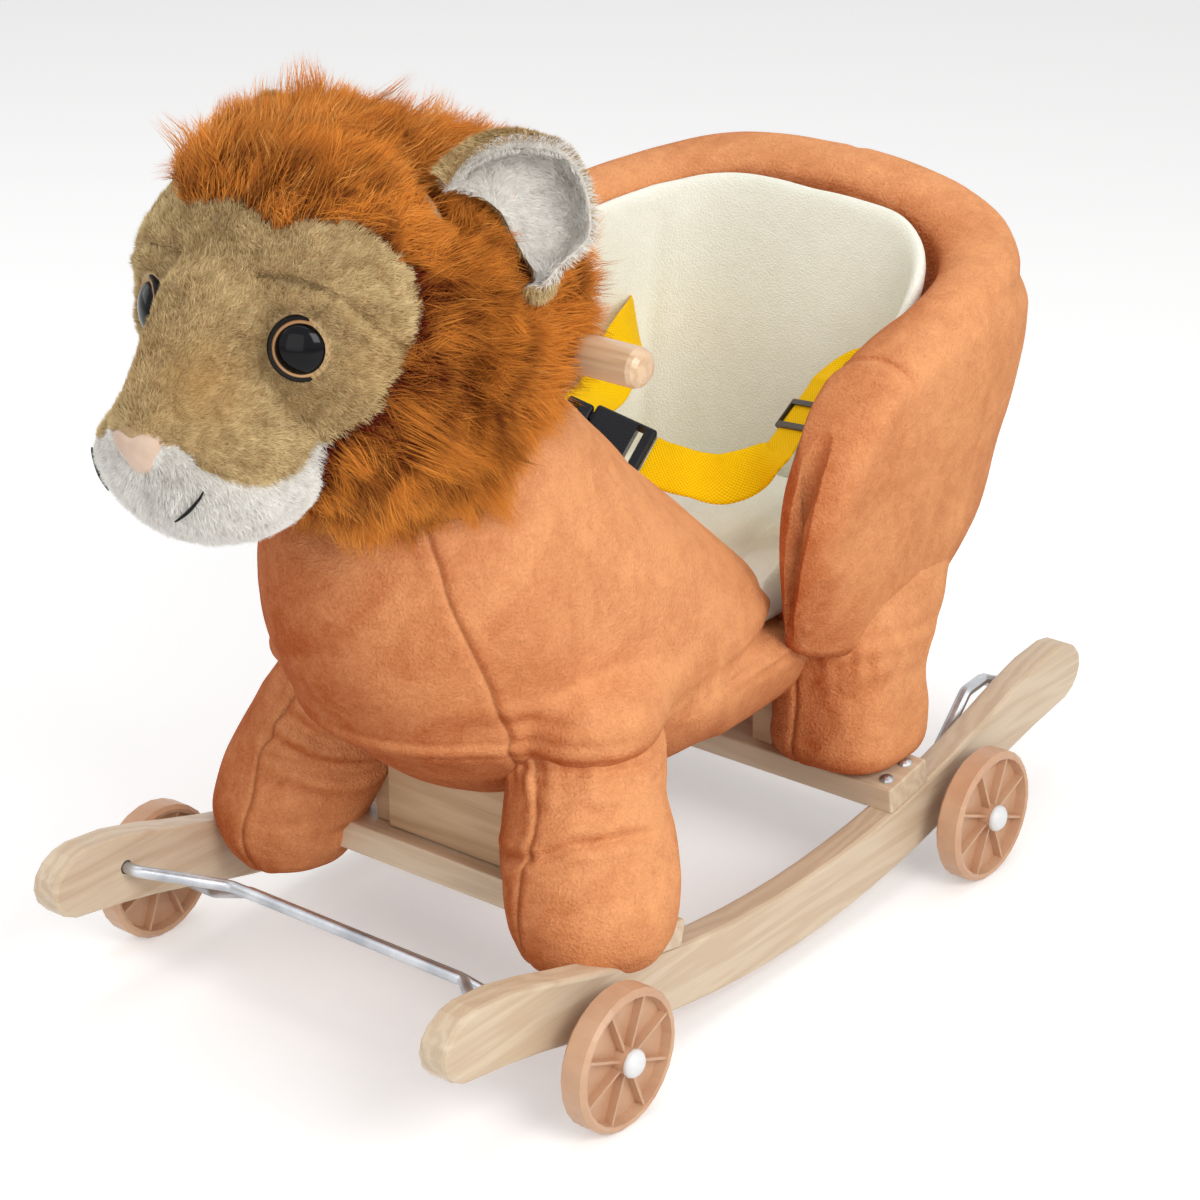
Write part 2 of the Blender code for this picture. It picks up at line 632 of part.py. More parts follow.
def seat_inner(z):
    """Half-width and back of the shell's inside at a height."""
    return (98 + 0.079 * (z / MM - 172)) * MM, (161 + 0.32 * (z / MM - 172)) * MM


def seat_outer(z):
    """Half-width and back of the shell's outside at a height."""
    return spline(z, OUTER_Z, OUTER_HALF), spline(z, OUTER_Z, OUTER_BACK)


def corner_angle(t):
    """Angle on the tub's plan curve, spaced evenly along it, from the side (0) to the back."""
    angle = np.linspace(0, math.pi / 2, 200)
    cx, sy = superellipse(angle, SEAT_SQUARENESS)
    length = np.concatenate([[0], np.cumsum(np.hypot(np.diff(cx * 0.140), np.diff(sy * 0.165)))])
    return np.interp(1 - np.clip(t, 0, 1), length / length[-1], angle)


def wing_front(z):
    """How far forward the wing reaches at a height."""
    return spline(z, np.array([160, 207, 240, 268, 290, 309, 329, 345, 360]) * MM,
                  np.array([58, 41, 31, 28, 32, 42, 60, 78, 92]) * MM)


def plan_point(t, half, back, z):
    """Point of the tub's plan: t 0 is the middle of the back, 1 starts the wing, 2 is its front."""
    cx, sy = superellipse(corner_angle(t), SEAT_SQUARENESS)
    forward = np.clip(t - 1, 0, 1)
    return half * cx, SEAT_CORNER_Y + (back - SEAT_CORNER_Y) * sy - forward * (SEAT_CORNER_Y - wing_front(z))


STATION_T = np.array([0, .14, .27, .37, .44, .49, .54, .61, .73, .87, 1.0, 1.25, 1.5, 1.68, 1.82, 1.92, 1.98])


def wing_top(t, side):
    """Height of the rim along the tub, which leans a little to the lion's left."""
    lean = -SEAT_LEAN * side * np.clip(t / 0.5, 0, 1)
    if side < 0:
        far = np.clip((t - 0.55) / 0.55, 0, 1)
        lean = lean + SEAT_FAR_RISE * far * far * (3 - 2 * far)
    return lean + spline(t, [0, .14, .28, .38, .48, .55, .72, .87, 1.0, 1.3, 1.6, 1.8, 1.92, 2.0],
                         np.array([416, 414, 409, 403, 396, 393, 387, 380, 373, 366, 357, 346, 336, 325]) * MM)


def wing_bottom(t):
    """Height of the wall's lower edge along the tub."""
    rise = spline(t, [0, 1.2, 1.5, 1.75, 1.9, 2.0], np.array([166, 166, 170, 181, 194, 208]) * MM)
    return np.maximum(rise, 166 * MM)


def edge_fullness(t, z):
    """1 in the wall, falling round a half circle at the wing's front."""
    reach = np.clip(2 - t, 0, 1) * (SEAT_CORNER_Y - wing_front(z))
    near = 1 - np.clip(reach / SEAT_EDGE_R, 0, 1)
    return np.sqrt(np.clip(1 - near**2, 0.03, 1))


def shell_rings():
    """Rings across the padded wall, from the left wing's front round to the right's."""
    rings = []
    crown = np.linspace(0, math.pi, 7)[1:-1]
    for side in (1, -1):
        for t in (STATION_T[::-1] if side == 1 else STATION_T[1:]):
            top, low = wing_top(t, side), wing_bottom(t)
            z = np.concatenate([np.linspace(low, top - SEAT_ROLL, 5), top - SEAT_ROLL + SEAT_ROLL * np.sin(crown),
                                np.linspace(top - SEAT_ROLL, low, 5)])
            w = np.concatenate([np.zeros(5), 0.5 - 0.5 * np.cos(crown), np.ones(5)])
            half_i, back_i = seat_inner(z)
            half_o, back_o = seat_outer(z)
            half_o = half_o - 16 * MM * np.clip((t - 1.3) / 0.7, 0, 1) * np.clip((262 * MM - z) / (60 * MM), 0, 1)
            w = 0.5 + (w - 0.5) * edge_fullness(t, z)
            xi, yi = plan_point(t, half_i, back_i, z)
            xo, yo = plan_point(t, half_o, back_o, z)
            rings.append(np.stack([side * (xi * (1 - w) + xo * w), yi * (1 - w) + yo * w, z], -1))
    return rings


def lining_rings():
    """The padded lining that follows the tub's inside."""
    rings = []
    stations = STATION_T[STATION_T < 1.8]
    for side in (1, -1):
        for t in (stations[::-1] if side == 1 else stations[1:]):
            top = wing_top(t, side) - (SEAT_ROLL - 4 * MM) - 8 * MM * np.clip(t - 1, 0, 1)
            low = np.maximum(wing_bottom(t), SEAT_FLOOR_Z) + 16 * MM
            z = np.concatenate([np.linspace(low, top - 5 * MM, 5), [top], np.linspace(top - 5 * MM, low, 5)])
            w = np.concatenate([np.full(5, LINING_THICK), [LINING_THICK * 0.5], np.full(5, 0.0)]) + 2 * GAP
            half, back = seat_inner(z)
            x, y = plan_point(t, half - w, back - w, z)
            rings.append(np.stack([side * x, y, z], -1))
    return rings


def cushion_mesh(name):
    """The seat cushion: crowned, with drawn-in sides and a channel beside each thigh."""
    nx, ny = 14, 9
    u, v = np.linspace(-1, 1, nx + 1), np.linspace(0, 1, ny + 1)
    uu, vv = np.meshgrid(u, v, indexing='ij')
    front, half, base = 34 * MM, 88.5 * MM, 187 * MM
    back = SEAT_CORNER_Y + 54 * MM * (1 - np.abs(0.985 * uu)**4)**0.25
    y = front + (back - front) * vv
    x = uu * half
    crown = 1 - np.abs(uu)**4
    channel = np.exp(-((np.abs(uu) - 0.66) / 0.07)**2)
    edge = np.minimum(vv, 1 - vv) * 8
    top = (206 + 22 * spline(vv, [0, .35, .8, 1], [0, .62, 1, .9]) + 8 * crown - 4.5 * channel
           - 7 * (1 - np.clip(edge, 0, 1))**2) * MM
    lower = np.stack([x * 0.985, y, np.full_like(top, base)], -1)
    upper = np.stack([x, y + 0.27 * (top - base) * vv**2, top], -1)
    waist = 0.5 * (lower + upper)
    count = (nx + 1) * (ny + 1)
    verts = np.vstack([upper.reshape(-1, 3), lower.reshape(-1, 3)])
    index = np.arange(count).reshape(nx + 1, ny + 1)
    faces = []
    for i in range(nx):
        for j in range(ny):
            a, b, c, d = index[i, j], index[i + 1, j], index[i + 1, j + 1], index[i, j + 1]
            faces.append((a, b, c, d))
            faces.append((d + count, c + count, b + count, a + count))
    rim = ([index[i, 0] for i in range(nx + 1)] + [index[nx, j] for j in range(1, ny + 1)]
           + [index[i, ny] for i in range(nx - 1, -1, -1)] + [index[0, j] for j in range(ny - 1, 0, -1)])
    middle = len(verts)
    verts = np.vstack([verts, [waist.reshape(-1, 3)[k] * (1.012, 1, 1) for k in rim]])
    size = len(rim)
    for k in range(size):
        n = (k + 1) % size
        faces.append((rim[k], middle + k, middle + n, rim[n]))
        faces.append((middle + k, rim[k] + count, rim[n] + count, middle + n))
    mesh = bpy.data.meshes.new(name)
    mesh.from_pydata(verts.tolist(), [], [tuple(int(i) for i in f) for f in faces])
    face_out(mesh)
    return mesh


# Lap belt

BUCKLE_CENTRE = np.array([-14, 33, 285]) * MM
BUCKLE_ALONG = np.array([0.90, 0.30, -0.316])
BUCKLE_FACE = np.array([0.434, -0.55, 0.711])
ADJUSTER_AT = np.array([75, 107, 298.5]) * MM
ADJUSTER_ALONG = np.array([0.137, 0.746, 0.651])
ADJUSTER_WIDE = np.array([-0.913, 0.347, -0.208])
ADJUSTER_SIZE = np.array([21, 36, 5.4]) * MM
ANCHOR_LEFT = (96.5, 165.5, 315)
ANCHOR_RIGHT = (-96.5, 165.5, 309)


def strap(name, points, across, steps, grow=0.0):
    """Flat webbing through points, with its width along a changing direction."""
    width, thick = WEBBING_WIDTH + 2 * grow, WEBBING_THICK + 2 * grow
    knots = np.linspace(0, 1, len(points))
    t = np.linspace(0, 1, steps)
    points, across = np.array(points, float) * MM, np.array(across, float)
    path = np.stack([spline(t, knots, points[:, k]) for k in range(3)], 1)
    wide = np.stack([spline(t, knots, across[:, k]) for k in range(3)], 1)
    along = np.gradient(path, axis=0)
    along /= np.linalg.norm(along, axis=1, keepdims=True)
    wide -= along * np.sum(wide * along, 1, keepdims=True)
    wide /= np.linalg.norm(wide, axis=1, keepdims=True)
    path[-1] += 2 * grow * along[-1]
    face = np.cross(along, wide)
    corners = ((1, 1), (1, -1), (-1, -1), (-1, 1))
    mesh = loft(name, np.stack([path + wide * a * width / 2 + face * b * thick / 2 for a, b in corners], 1))
    bm = bmesh.new()
    bm.from_mesh(mesh)
    bmesh.ops.triangulate(bm, faces=bm.faces)
    bm.to_mesh(mesh)
    bm.free()
    return mesh


def frame_at(centre, along, up):
    """Matrix that takes a fitting's own axes to their place: x along, z out of its face."""
    x = Vector(along).normalized()
    z = Vector(up)
    z = (z - x * z.dot(x)).normalized()
    return Matrix.Translation(Vector(centre)) @ Matrix((x, z.cross(x), z)).transposed().to_4x4()


def blocks(name, centres, size):
    """Several separate blocks in one mesh, for a Boolean."""
    bm = bmesh.new()
    for centre in centres:
        for v in bmesh.ops.create_cube(bm, size=1)["verts"]:
            v.co = Vector([c + k * s for c, k, s in zip(centre, v.co, size)]) * MM
    mesh = bpy.data.meshes.new(name)
    bm.to_mesh(mesh)
    bm.free()
    return mesh


def build_frame_work():
    """Rockers, cross bars, screws, posts, apron and boards."""
    slots = [place("slot_front", axle_slot("slot_front", FRONT_HINGE, FRONT_AXLE)),
             place("slot_rear", axle_slot("slot_rear", REAR_HINGE, REAR_AXLE))]
    holes = []
    for label, hinge in (("front", FRONT_HINGE), ("rear", REAR_HINGE)):
        reach = ROCKER_INNER_X + PIN_DEPTH
        pin = turned("pin_hole_" + label, [(-reach, ROD_R + PIN_CLEARANCE), (reach, ROD_R + PIN_CLEARANCE)], 20)
        pin.transform(Matrix.Translation((0, *hinge)))
        holes.append(place("pin_hole_" + label, pin))
    left = rocker_mesh("rocker_left")
    right = mirrored(left, "rocker_right")
    cut(place("rocker_left", left, "beech"), slots[0], slots[1], *holes)
    far_slots = []
    for slot in slots:
        far_slots.append(place(slot.name + "_far", mirrored(slot.data, slot.name + "_far")))
    cut(place("rocker_right", right, "beech"), *far_slots, *holes)
    for label, span in (("front", BAR_FRONT_Y), ("rear", BAR_REAR_Y)):
        bar = place("crossbar_" + label, tilted_box("crossbar_" + label, span,
                    (2 * BAR_HALF_LENGTH, BAR_WIDTH, BAR_THICK + BAR_LAP), -BAR_LAP / 2, 1.2 * MM), "beech")
        for sx in (1, -1):
            x0, x1 = sorted((sx * BAR_NOTCH_X, sx * (BAR_HALF_LENGTH + 5 * MM)))
            notch = tilted_box("bar_notch", span, (x1 - x0, BAR_WIDTH + 8 * MM, 6 * MM),
                               -BAR_THICK / 2 - 3 * MM)
            notch.transform(Matrix.Translation(((x0 + x1) / 2, 0, 0)))
            cut(bar, place("bar_notch_%s_%d" % (label, sx), notch))
        for k, (x, y, z, tilt) in enumerate(screw_points(span)):
            name = "screw_%s_%d" % (label, k + 1)
            turn = Matrix.Translation((x, y, z)) @ Matrix.Rotation(tilt, 4, 'X')
            screw = screw_mesh(name)
            screw.transform(turn)
            place(name, screw, "steel")
            hole = screw_mesh(name + "_hole", GAP)
            hole.transform(turn)
            cut(bar, place(name + "_hole", hole))
    posts = []
    for label, span, y0, y1, top in (("front", BAR_FRONT_Y, -128.6, -111.4, 196), ("rear", BAR_REAR_Y, 103, 121, 164)):
        for side, sx in (("left", 1), ("right", -1)):
            name = "post_%s_%s" % (label, side)
            for suffix, grow in (("", 0.0), ("_pocket", CUT)):
                x0, x1 = sorted((sx * 46 * MM, sx * 60.7 * MM))
                low, high = y0 * MM - grow, y1 * MM + grow
                x0, x1 = x0 - grow, x1 + grow
                foot = [[x, y, bar_top(span, y) + GAP - grow] for x, y in
                        ((x0, low), (x1, low), (x1, high), (x0, high))]
                head = [[p[0], p[1], top * MM + grow] for p in foot]
                mesh = loft(name + suffix, [foot, head])
                made = place(name + suffix, mesh, None if grow else "ply", smooth=False)
                if grow:
                    posts.append(made)
    apron = ((-45.2 * MM, -125 * MM, 96 * MM), (45.2 * MM, -113 * MM, 185 * MM))
    place("apron_board", box("apron_board", *apron, 0.8 * MM, 1), "ply")
    grown = (np.array(apron[0]) - CUT, np.array(apron[1]) + CUT)
    posts.append(place("apron_pocket", box("apron_pocket", *grown)))
    place("seat_board", box("seat_board", (-84 * MM, 119 * MM, 173 * MM), (84 * MM, 150 * MM, 185 * MM), 1 * MM, 1), "ply")
    return posts


def build_carriers():
    """Axles, bails, wheels and caps, each with its origin on its own axis."""
    place("axle_front", rod("axle_front", axle_path_front(), ROD_R), "steel", (0, *FRONT_HINGE))
    place("bail_front", rod("bail_front", bail_path_front(), ROD_R), "steel", (0, *FRONT_HINGE))
    place("axle_rear", rod("axle_rear", axle_path_rear(), ROD_R), "steel", (0, *REAR_HINGE))
    place("bail_rear", rod("bail_rear", bail_path_rear(), ROD_R), "steel", (0, *REAR_HINGE))
    ribs = place("wheel_ribs", rib_mesh("wheel_ribs"))
    for label, axle in (("front", FRONT_AXLE), ("rear", REAR_AXLE)):
        for side, sx in (("left", 1), ("right", -1)):
            name = "wheel_%s_%s" % (label, side)
            wheel = wheel_mesh(name)
            cap = cap_mesh("cap_%s_%s" % (label, side))
            rib = ribs.data.copy()
            if sx < 0:
                wheel, cap, rib = (mirrored(m, m.name + "_m") for m in (wheel, cap, rib))
            obj = place(name, wheel, "wheel")
            obj.location = (0, *axle)
            star = place(name + "_ribs", rib)
            star.location = (0, *axle)
            mod = obj.modifiers.new("ribs", 'BOOLEAN')
            mod.operation = 'UNION'
            mod.solver = 'EXACT'
            mod.use_self = False
            mod.object = star
            cap.transform(Matrix.Translation((0, *axle)))
            hinge = FRONT_HINGE if label == "front" else REAR_HINGE
            place("cap_%s_%s" % (label, side), cap, "cap", (0, *hinge))


def build_animal(posts):
    """Torso, legs, head, muzzle, nose, eyes, mane, ears, neck board and handle."""
    torso_cut = place("torso_space", torso_mesh("torso_space", CUT))
    board = ((-9 * MM, -166 * MM, 318 * MM), (9 * MM, -112 * MM, 440 * MM))
    place_board = place("neck_board", box("neck_board", *board, 1.5 * MM, 1), "ply")
    neck_cut = place("neck_space", box("neck_space", np.array(board[0]) - CUT, np.array(board[1]) + CUT))
    handle_cut = turned("handle_space", [(-0.2, HANDLE_R + GAP), (0.2, HANDLE_R + GAP)], 24)
    handle_cut.transform(Matrix.Translation((0, HANDLE_Y, HANDLE_Z)))
    handle_cut = place("handle_space", handle_cut)
    cut(place_board, handle_cut)
    end = HANDLE_HALF_LENGTH
    dome = [(end - 7 * MM + 7 * MM * math.sin(a), HANDLE_R * math.cos(a)) for a in np.linspace(0, 1.25, 4)]
    profile = [(-x, r) for x, r in reversed(dome)] + dome
    handle = turned("handle", profile, 20)
    handle.transform(Matrix.Translation((0, HANDLE_Y, HANDLE_Z)))
    place("handle", handle, "handle")

    cut(place("torso", torso_mesh("torso"), "plush"), neck_cut, *posts)
    bars = [place("bar_space_" + label, tilted_box("bar_space_" + label, span,
                  (2 * BAR_HALF_LENGTH + 2 * CUT, BAR_WIDTH + 2 * CUT, BAR_THICK + BAR_LAP + 2 * CUT + FOOT_SLOT),
                  -(BAR_LAP + FOOT_SLOT) / 2))
            for label, span in (("front", BAR_FRONT_Y), ("rear", BAR_REAR_Y))]
    screw_room = []
    for label, span in (("front", BAR_FRONT_Y), ("rear", BAR_REAR_Y)):
        pair = []
        for k, (x, y, z, tilt) in enumerate(screw_points(span)):
            room = turned("screw_room", [(-1 * MM, SCREW_HEAD_R + 0.6 * MM), (3.4 * MM, SCREW_HEAD_R + 0.6 * MM)], 12, 'Z')
            room.transform(Matrix.Translation((x, y, z)) @ Matrix.Rotation(tilt, 4, 'X'))
            pair.append(place("screw_room_%s_%d" % (label, k), room))
        screw_room.append(pair)
    for side in ("left", "right"):
        space = rocker_mesh("rocker_space_" + side, CUT)
        if side == "right":
            space = mirrored(space, space.name + "_m")
        rocker_cut = place("rocker_space_" + side, space)
        for label, stations, power, bar, rooms in (("front", FRONT_LEG, 2.0, bars[0], screw_room[0]),
                                                   ("rear", REAR_LEG, 2.8, bars[1], screw_room[1])):
            name = "leg_%s_%s" % (label, side)
            mesh = limb_mesh(name, stations, power)
            if side == "right":
                mesh = mirrored(mesh, name + "_m")
            near = rooms[:2] if side == "left" else rooms[2:]
            pocket = bpy.data.objects["post_%s_%s_pocket" % (label, side)]
            cut(place(name, mesh, "plush"), *near, bar, pocket, rocker_cut, torso_cut)

    head_cut = place("head_space", ellipsoid("head_space", HEAD_CENTRE, HEAD_SIZE, grow=CUT, shape=head_shape))
    muzzle_args = (MUZZLE_CENTRE, MUZZLE_SIZE)
    muzzle_cut = place("muzzle_space", ellipsoid("muzzle_space", *muzzle_args, rows=11, sides=18, grow=CUT))
    cut(place("head", ellipsoid("head", HEAD_CENTRE, HEAD_SIZE, shape=head_shape), "face"), torso_cut)
    cut(place("muzzle", ellipsoid("muzzle", *muzzle_args, rows=11, sides=18), "muzzle"), head_cut)
    nose = ellipsoid("nose", (0, -358 * MM, 403 * MM), (19 * MM, 9 * MM, 12 * MM), rows=8, sides=16)
    cut(place("nose", nose, "nose"), muzzle_cut, head_cut)
    mane = place("mane", ellipsoid("mane", MANE_CENTRE, MANE_SIZE, 13, 22, shape=mane_shape), "mane")
    cut(mane, muzzle_cut, head_cut, torso_cut, handle_cut, neck_cut)
    mane_cut = place("mane_space", ellipsoid("mane_space", MANE_CENTRE, MANE_SIZE, 13, 22, CUT, mane_shape))
    for side, sx in (("left", 1), ("right", -1)):
        ear = ear_mesh("ear_" + side)
        if sx < 0:
            ear = laid_back(mirrored(ear, ear.name + "_m"))
        cut(place("ear_" + side, ear, "face"), mane_cut)
        on = Vector((sx * EYE_AT[0], EYE_AT[1], EYE_AT[2]))
        dome = [(-6 * MM, 15 * MM), (0.5 * MM, 17.6 * MM), (2.2 * MM, 16.8 * MM), (3 * MM, 14.2 * MM)]
        dome += [(3 * MM + 5.5 * MM * math.sin(a), 14.2 * MM * math.cos(a)) for a in np.linspace(0.3, 1.25, 3)]
        eye = turned("eye_" + side, dome, 18, 'Z')
        normal = Vector([(p - c) / (s * s) for p, c, s in zip(on, HEAD_CENTRE, HEAD_SIZE)]).normalized()
        eye.transform(Matrix.Translation(on) @ Vector((0, 0, 1)).rotation_difference(normal).to_matrix().to_4x4())
        cut(place("eye_" + side, eye, "eye"), head_cut, muzzle_cut)


def build_seat():
    """Tub shell, lining, cushion and lap belt."""
    torso_cut = bpy.data.objects["torso_space"]
    shell = place("seat_shell", loft("seat_shell", shell_rings()), "plush")
    cut(shell, torso_cut)
    lining = place("seat_lining", loft("seat_lining", lining_rings()), "lining")
    cut(lining, torso_cut)
    cushion = place("seat_cushion", cushion_mesh("seat_cushion"), "lining")
    cut(cushion, torso_cut)

    build_belt(lining)


def build_belt(lining):
    """Lap belt: two webbings, a side-release buckle and a sliding adjuster."""
    frame = frame_at(BUCKLE_CENTRE, BUCKLE_ALONG, BUCKLE_FACE)
    socket = box("buckle_socket", (-15 * MM, -17.5 * MM, -5 * MM), (25 * MM, 17.5 * MM, 5 * MM), 2.2 * MM)
    tongue = box("buckle_tongue", (-33 * MM, -15.5 * MM, -4.4 * MM), (-16 * MM, 15.5 * MM, 4.4 * MM), 2 * MM)
    fingers = blocks("buckle_fingers", [(-9, y, 0) for y in (-9.5, 0, 9.5)], (20, 5, 4))
    mouth = box("buckle_mouth", (-20 * MM, -12.5 * MM, -2.4 * MM), (4 * MM, 12.5 * MM, 2.4 * MM))
    eye_near = box("buckle_eye_near", (13 * MM, -15.4 * MM, -12 * MM), (18 * MM, 15.4 * MM, 12 * MM))
    eye_far = box("buckle_eye_far", (-29 * MM, -12.2 * MM, -12 * MM), (-24.5 * MM, 12.2 * MM, 12 * MM))
    for mesh in (socket, tongue, fingers, mouth, eye_near, eye_far):
        mesh.transform(frame)
    cut(place("buckle_socket", socket, "buckle"), place("buckle_mouth", mouth), place("buckle_eye_near", eye_near))
    held = place("buckle_tongue", tongue, "buckle")
    mod = held.modifiers.new("fingers", 'BOOLEAN')
    mod.operation = 'UNION'
    mod.solver = 'EXACT'
    mod.object = place("buckle_fingers", fingers)
    cut(held, place("buckle_eye_far", eye_far))

    slide = frame_at(ADJUSTER_AT, ADJUSTER_ALONG, np.cross(ADJUSTER_ALONG, ADJUSTER_WIDE))
    adjuster = box("belt_adjuster", -ADJUSTER_SIZE / 2, ADJUSTER_SIZE / 2, 1.2 * MM)
    channel = blocks("adjuster_channel", [(0, 0, 0)], (40, 31.4, 2.6))
    windows = blocks("adjuster_windows", [(0, 0, 4)], (13, 31.4, 6))
    ends = blocks("adjuster_ends", [(-8.5, 0, -4), (8.5, 0, -4)], (11, 31.4, 6))
    for mesh in (adjuster, channel, windows, ends):
        mesh.transform(slide)
    cut(place("belt_adjuster", adjuster, "buckle"), place("adjuster_channel", channel),
        place("adjuster_windows", windows), place("adjuster_ends", ends))

    def at(matrix, x, y, z):
        return [c / MM for c in matrix @ Vector((x * MM, y * MM, z * MM))]

    across, wide = tuple(frame.to_3x3() @ Vector((0, 1, 0))), tuple(ADJUSTER_WIDE)
    upright = (-0.1, 0.05, 0.99)
    left = ([at(frame, 26, 0, 0), at(frame, 33, 0, 0), (24, 46, 272.3), (36, 52, 269.5), (49, 63, 266.2),
             (60, 78.5, 270.3), at(slide, -30, 0, 0), at(slide, -21, 0, 0), at(slide, 0, 0, 0), at(slide, 21, 0, 0),
             at(slide, 30, 0, 0), (86, 146, 317), (91.5, 157, 316), ANCHOR_LEFT],
            [across, across, (-.26, .59, .69), (-.42, .54, .70), (-.33, .42, .86), (-.73, .37, .57),
             wide, wide, wide, wide, wide, (-.5, .2, .5), upright, upright])
    lengthwise = tuple(BUCKLE_ALONG)
    right = ([at(frame, -25, -13, -6.5), at(frame, -25, 0, -6.5), at(frame, -25, 12, -8.5), at(frame, -25, 25, -19),
              (-53, 78, 294.5), (-61, 102, 304), (-71, 127, 310.5), (-87, 154, 311), ANCHOR_RIGHT],
             [lengthwise, lengthwise, lengthwise, lengthwise, (.86, .33, -.3), (.8, .3, -.45), (.6, .2, -.75),
              (.2, .1, -.97), (.1, .05, -.99)])
    for label, (points, wides), steps in (("left", left, 42), ("right", right, 30)):
        name = "belt_" + label
        place(name, strap(name, points, wides, steps), "webbing")
        cut(lining, place("slot_" + label, strap("slot_" + label, points, wides, steps, CUT)))


def main():
    """Build the whole toy."""
    clear_scene()
    posts = build_frame_work()
    build_carriers()
    build_animal(posts)
    build_seat()
    for obj in bpy.data.objects:
        obj.location.y += FRAME_SHIFT


main()
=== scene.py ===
"""Looks of the rocking lion with wheels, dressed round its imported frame.

Shapes are worked out in millimetres from the middle of the rockers, the way the solids
are drawn. framed() turns such points into the frame's metres when a mesh is made.
"""
from __future__ import annotations

import logging
import math
from dataclasses import dataclass
from enum import Enum
from typing import Callable

import bmesh
import bpy
import numpy as np
from mathutils import Matrix, Vector


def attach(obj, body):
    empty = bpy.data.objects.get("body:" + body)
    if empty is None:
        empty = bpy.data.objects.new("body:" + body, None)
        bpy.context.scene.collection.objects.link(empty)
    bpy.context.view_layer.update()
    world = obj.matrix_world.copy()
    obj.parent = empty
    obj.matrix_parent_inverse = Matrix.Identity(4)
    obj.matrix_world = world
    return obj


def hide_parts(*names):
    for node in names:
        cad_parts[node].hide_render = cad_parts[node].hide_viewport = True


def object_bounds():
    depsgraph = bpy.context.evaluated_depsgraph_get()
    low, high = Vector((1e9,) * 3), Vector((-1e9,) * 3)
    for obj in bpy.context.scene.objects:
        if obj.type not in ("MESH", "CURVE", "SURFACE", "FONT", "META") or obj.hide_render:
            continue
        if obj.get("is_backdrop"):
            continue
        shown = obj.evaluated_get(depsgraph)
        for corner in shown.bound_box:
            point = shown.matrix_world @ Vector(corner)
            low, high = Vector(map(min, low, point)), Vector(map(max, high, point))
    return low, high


LOG = logging.getLogger("rocking_lion")
TO_MIDDLE = np.array([0.0, 24.5, 0.0])  # from the middle of the rockers to the frame's origin
BASE = "lion"


class Axis(Enum):
    """The way a grain runs."""

    X = 0
    Y = 1
    Z = 2


class Side(Enum):
    """A side of the lion."""

    LEFT = "left"
    RIGHT = "right"


# Numbers and curves

def framed(points: np.ndarray) -> np.ndarray:
    """Points in millimetres from the rockers' middle, as points of the frame in metres."""
    return (np.asarray(points, float) + TO_MIDDLE) * 0.001


def spline(x: np.ndarray, knots: list, values: list) -> np.ndarray:
    """Cubic Hermite curve through the knots, held level beyond its ends.

    Args:
        x: where it is read.
        knots: rising positions.
        values: the height at each knot.

    Returns:
        The curve's heights, in the shape of x.
    """
    knots, values = np.asarray(knots, float), np.asarray(values, float)
    slope = np.gradient(values, knots)
    x = np.clip(x, knots[0], knots[-1])
    i = np.clip(np.searchsorted(knots, x, side="right") - 1, 0, len(knots) - 2)
    h = knots[i + 1] - knots[i]
    t = (x - knots[i]) / h
    return ((2 * t**3 - 3 * t**2 + 1) * values[i] + (t**3 - 2 * t**2 + t) * h * slope[i]
            + (3 * t**2 - 2 * t**3) * values[i + 1] + (t**3 - t**2) * h * slope[i + 1])


def curve(t: np.ndarray, marks: list) -> np.ndarray:
    """Smooth curve through marks spaced evenly along it, read at each t from 0 to 1."""
    marks = np.array(marks, float)
    knots = np.linspace(0, 1, len(marks))
    return np.stack([spline(t, knots, column) for column in marks.T], -1)


def eased(x: np.ndarray) -> np.ndarray:
    """3x^2 - 2x^3, with x held from 0 to 1: a step with soft ends."""
    x = np.clip(x, 0, 1)
    return x**2 * (3 - 2 * x)


def unit(vectors: np.ndarray) -> np.ndarray:
    """Vectors brought to length 1."""
    return vectors / np.maximum(np.linalg.norm(vectors, axis=-1, keepdims=True), 1e-9)


def ball_directions(rows: int, columns: int) -> np.ndarray:
    """Unit vectors in level rings, from the lowest to the highest, without the two poles."""
    lat = np.linspace(-math.pi / 2, math.pi / 2, rows + 2)[1:-1]
    lon = np.arange(columns) * 2 * math.pi / columns
    return np.stack([np.cos(lat)[:, None] * np.cos(lon), np.cos(lat)[:, None] * np.sin(lon),
                     np.broadcast_to(np.sin(lat)[:, None], (rows, columns))], -1)


def superellipse(angle: np.ndarray, power: np.ndarray | float) -> tuple[np.ndarray, np.ndarray]:
    """Unit outline |x|^p + |y|^p = 1 at each angle; 2 is a circle and more is squarer."""
    c, s = np.cos(angle), np.sin(angle)
    return np.sign(c) * np.abs(c)**(2 / power), np.sign(s) * np.abs(s)**(2 / power)


def smooth_noise(points: np.ndarray, size: float, seed: int = 0) -> np.ndarray:
    """Random heights on a cubic lattice, blended with 3t^2 - 2t^3 between its corners.

    Args:
        points: places in millimetres.
        size: the lattice's step in millimetres.
        seed: shifts the lattice.

    Returns:
        A value from -1 to 1 at each place.
    """
    p = np.asarray(points, float) / size + 31.7 * (seed + 1)
    cell = np.floor(p).astype(np.int64)
    f = p - cell
    f = f * f * (3 - 2 * f)
    total = np.zeros(p.shape[:-1])
    for corner in np.ndindex(2, 2, 2):
        c = cell + corner
        mixed = (c[..., 0] * 73856093) ^ (c[..., 1] * 19349663) ^ (c[..., 2] * 83492791)
        mixed = ((mixed ^ (mixed >> 13)) * 1274126177) & 0x7FFFFFFF
        weight = np.prod(np.where(corner, f, 1 - f), axis=-1)
        total += weight * ((mixed ^ (mixed >> 11)) / 0x7FFFFFFF)
    return 2 * total - 1


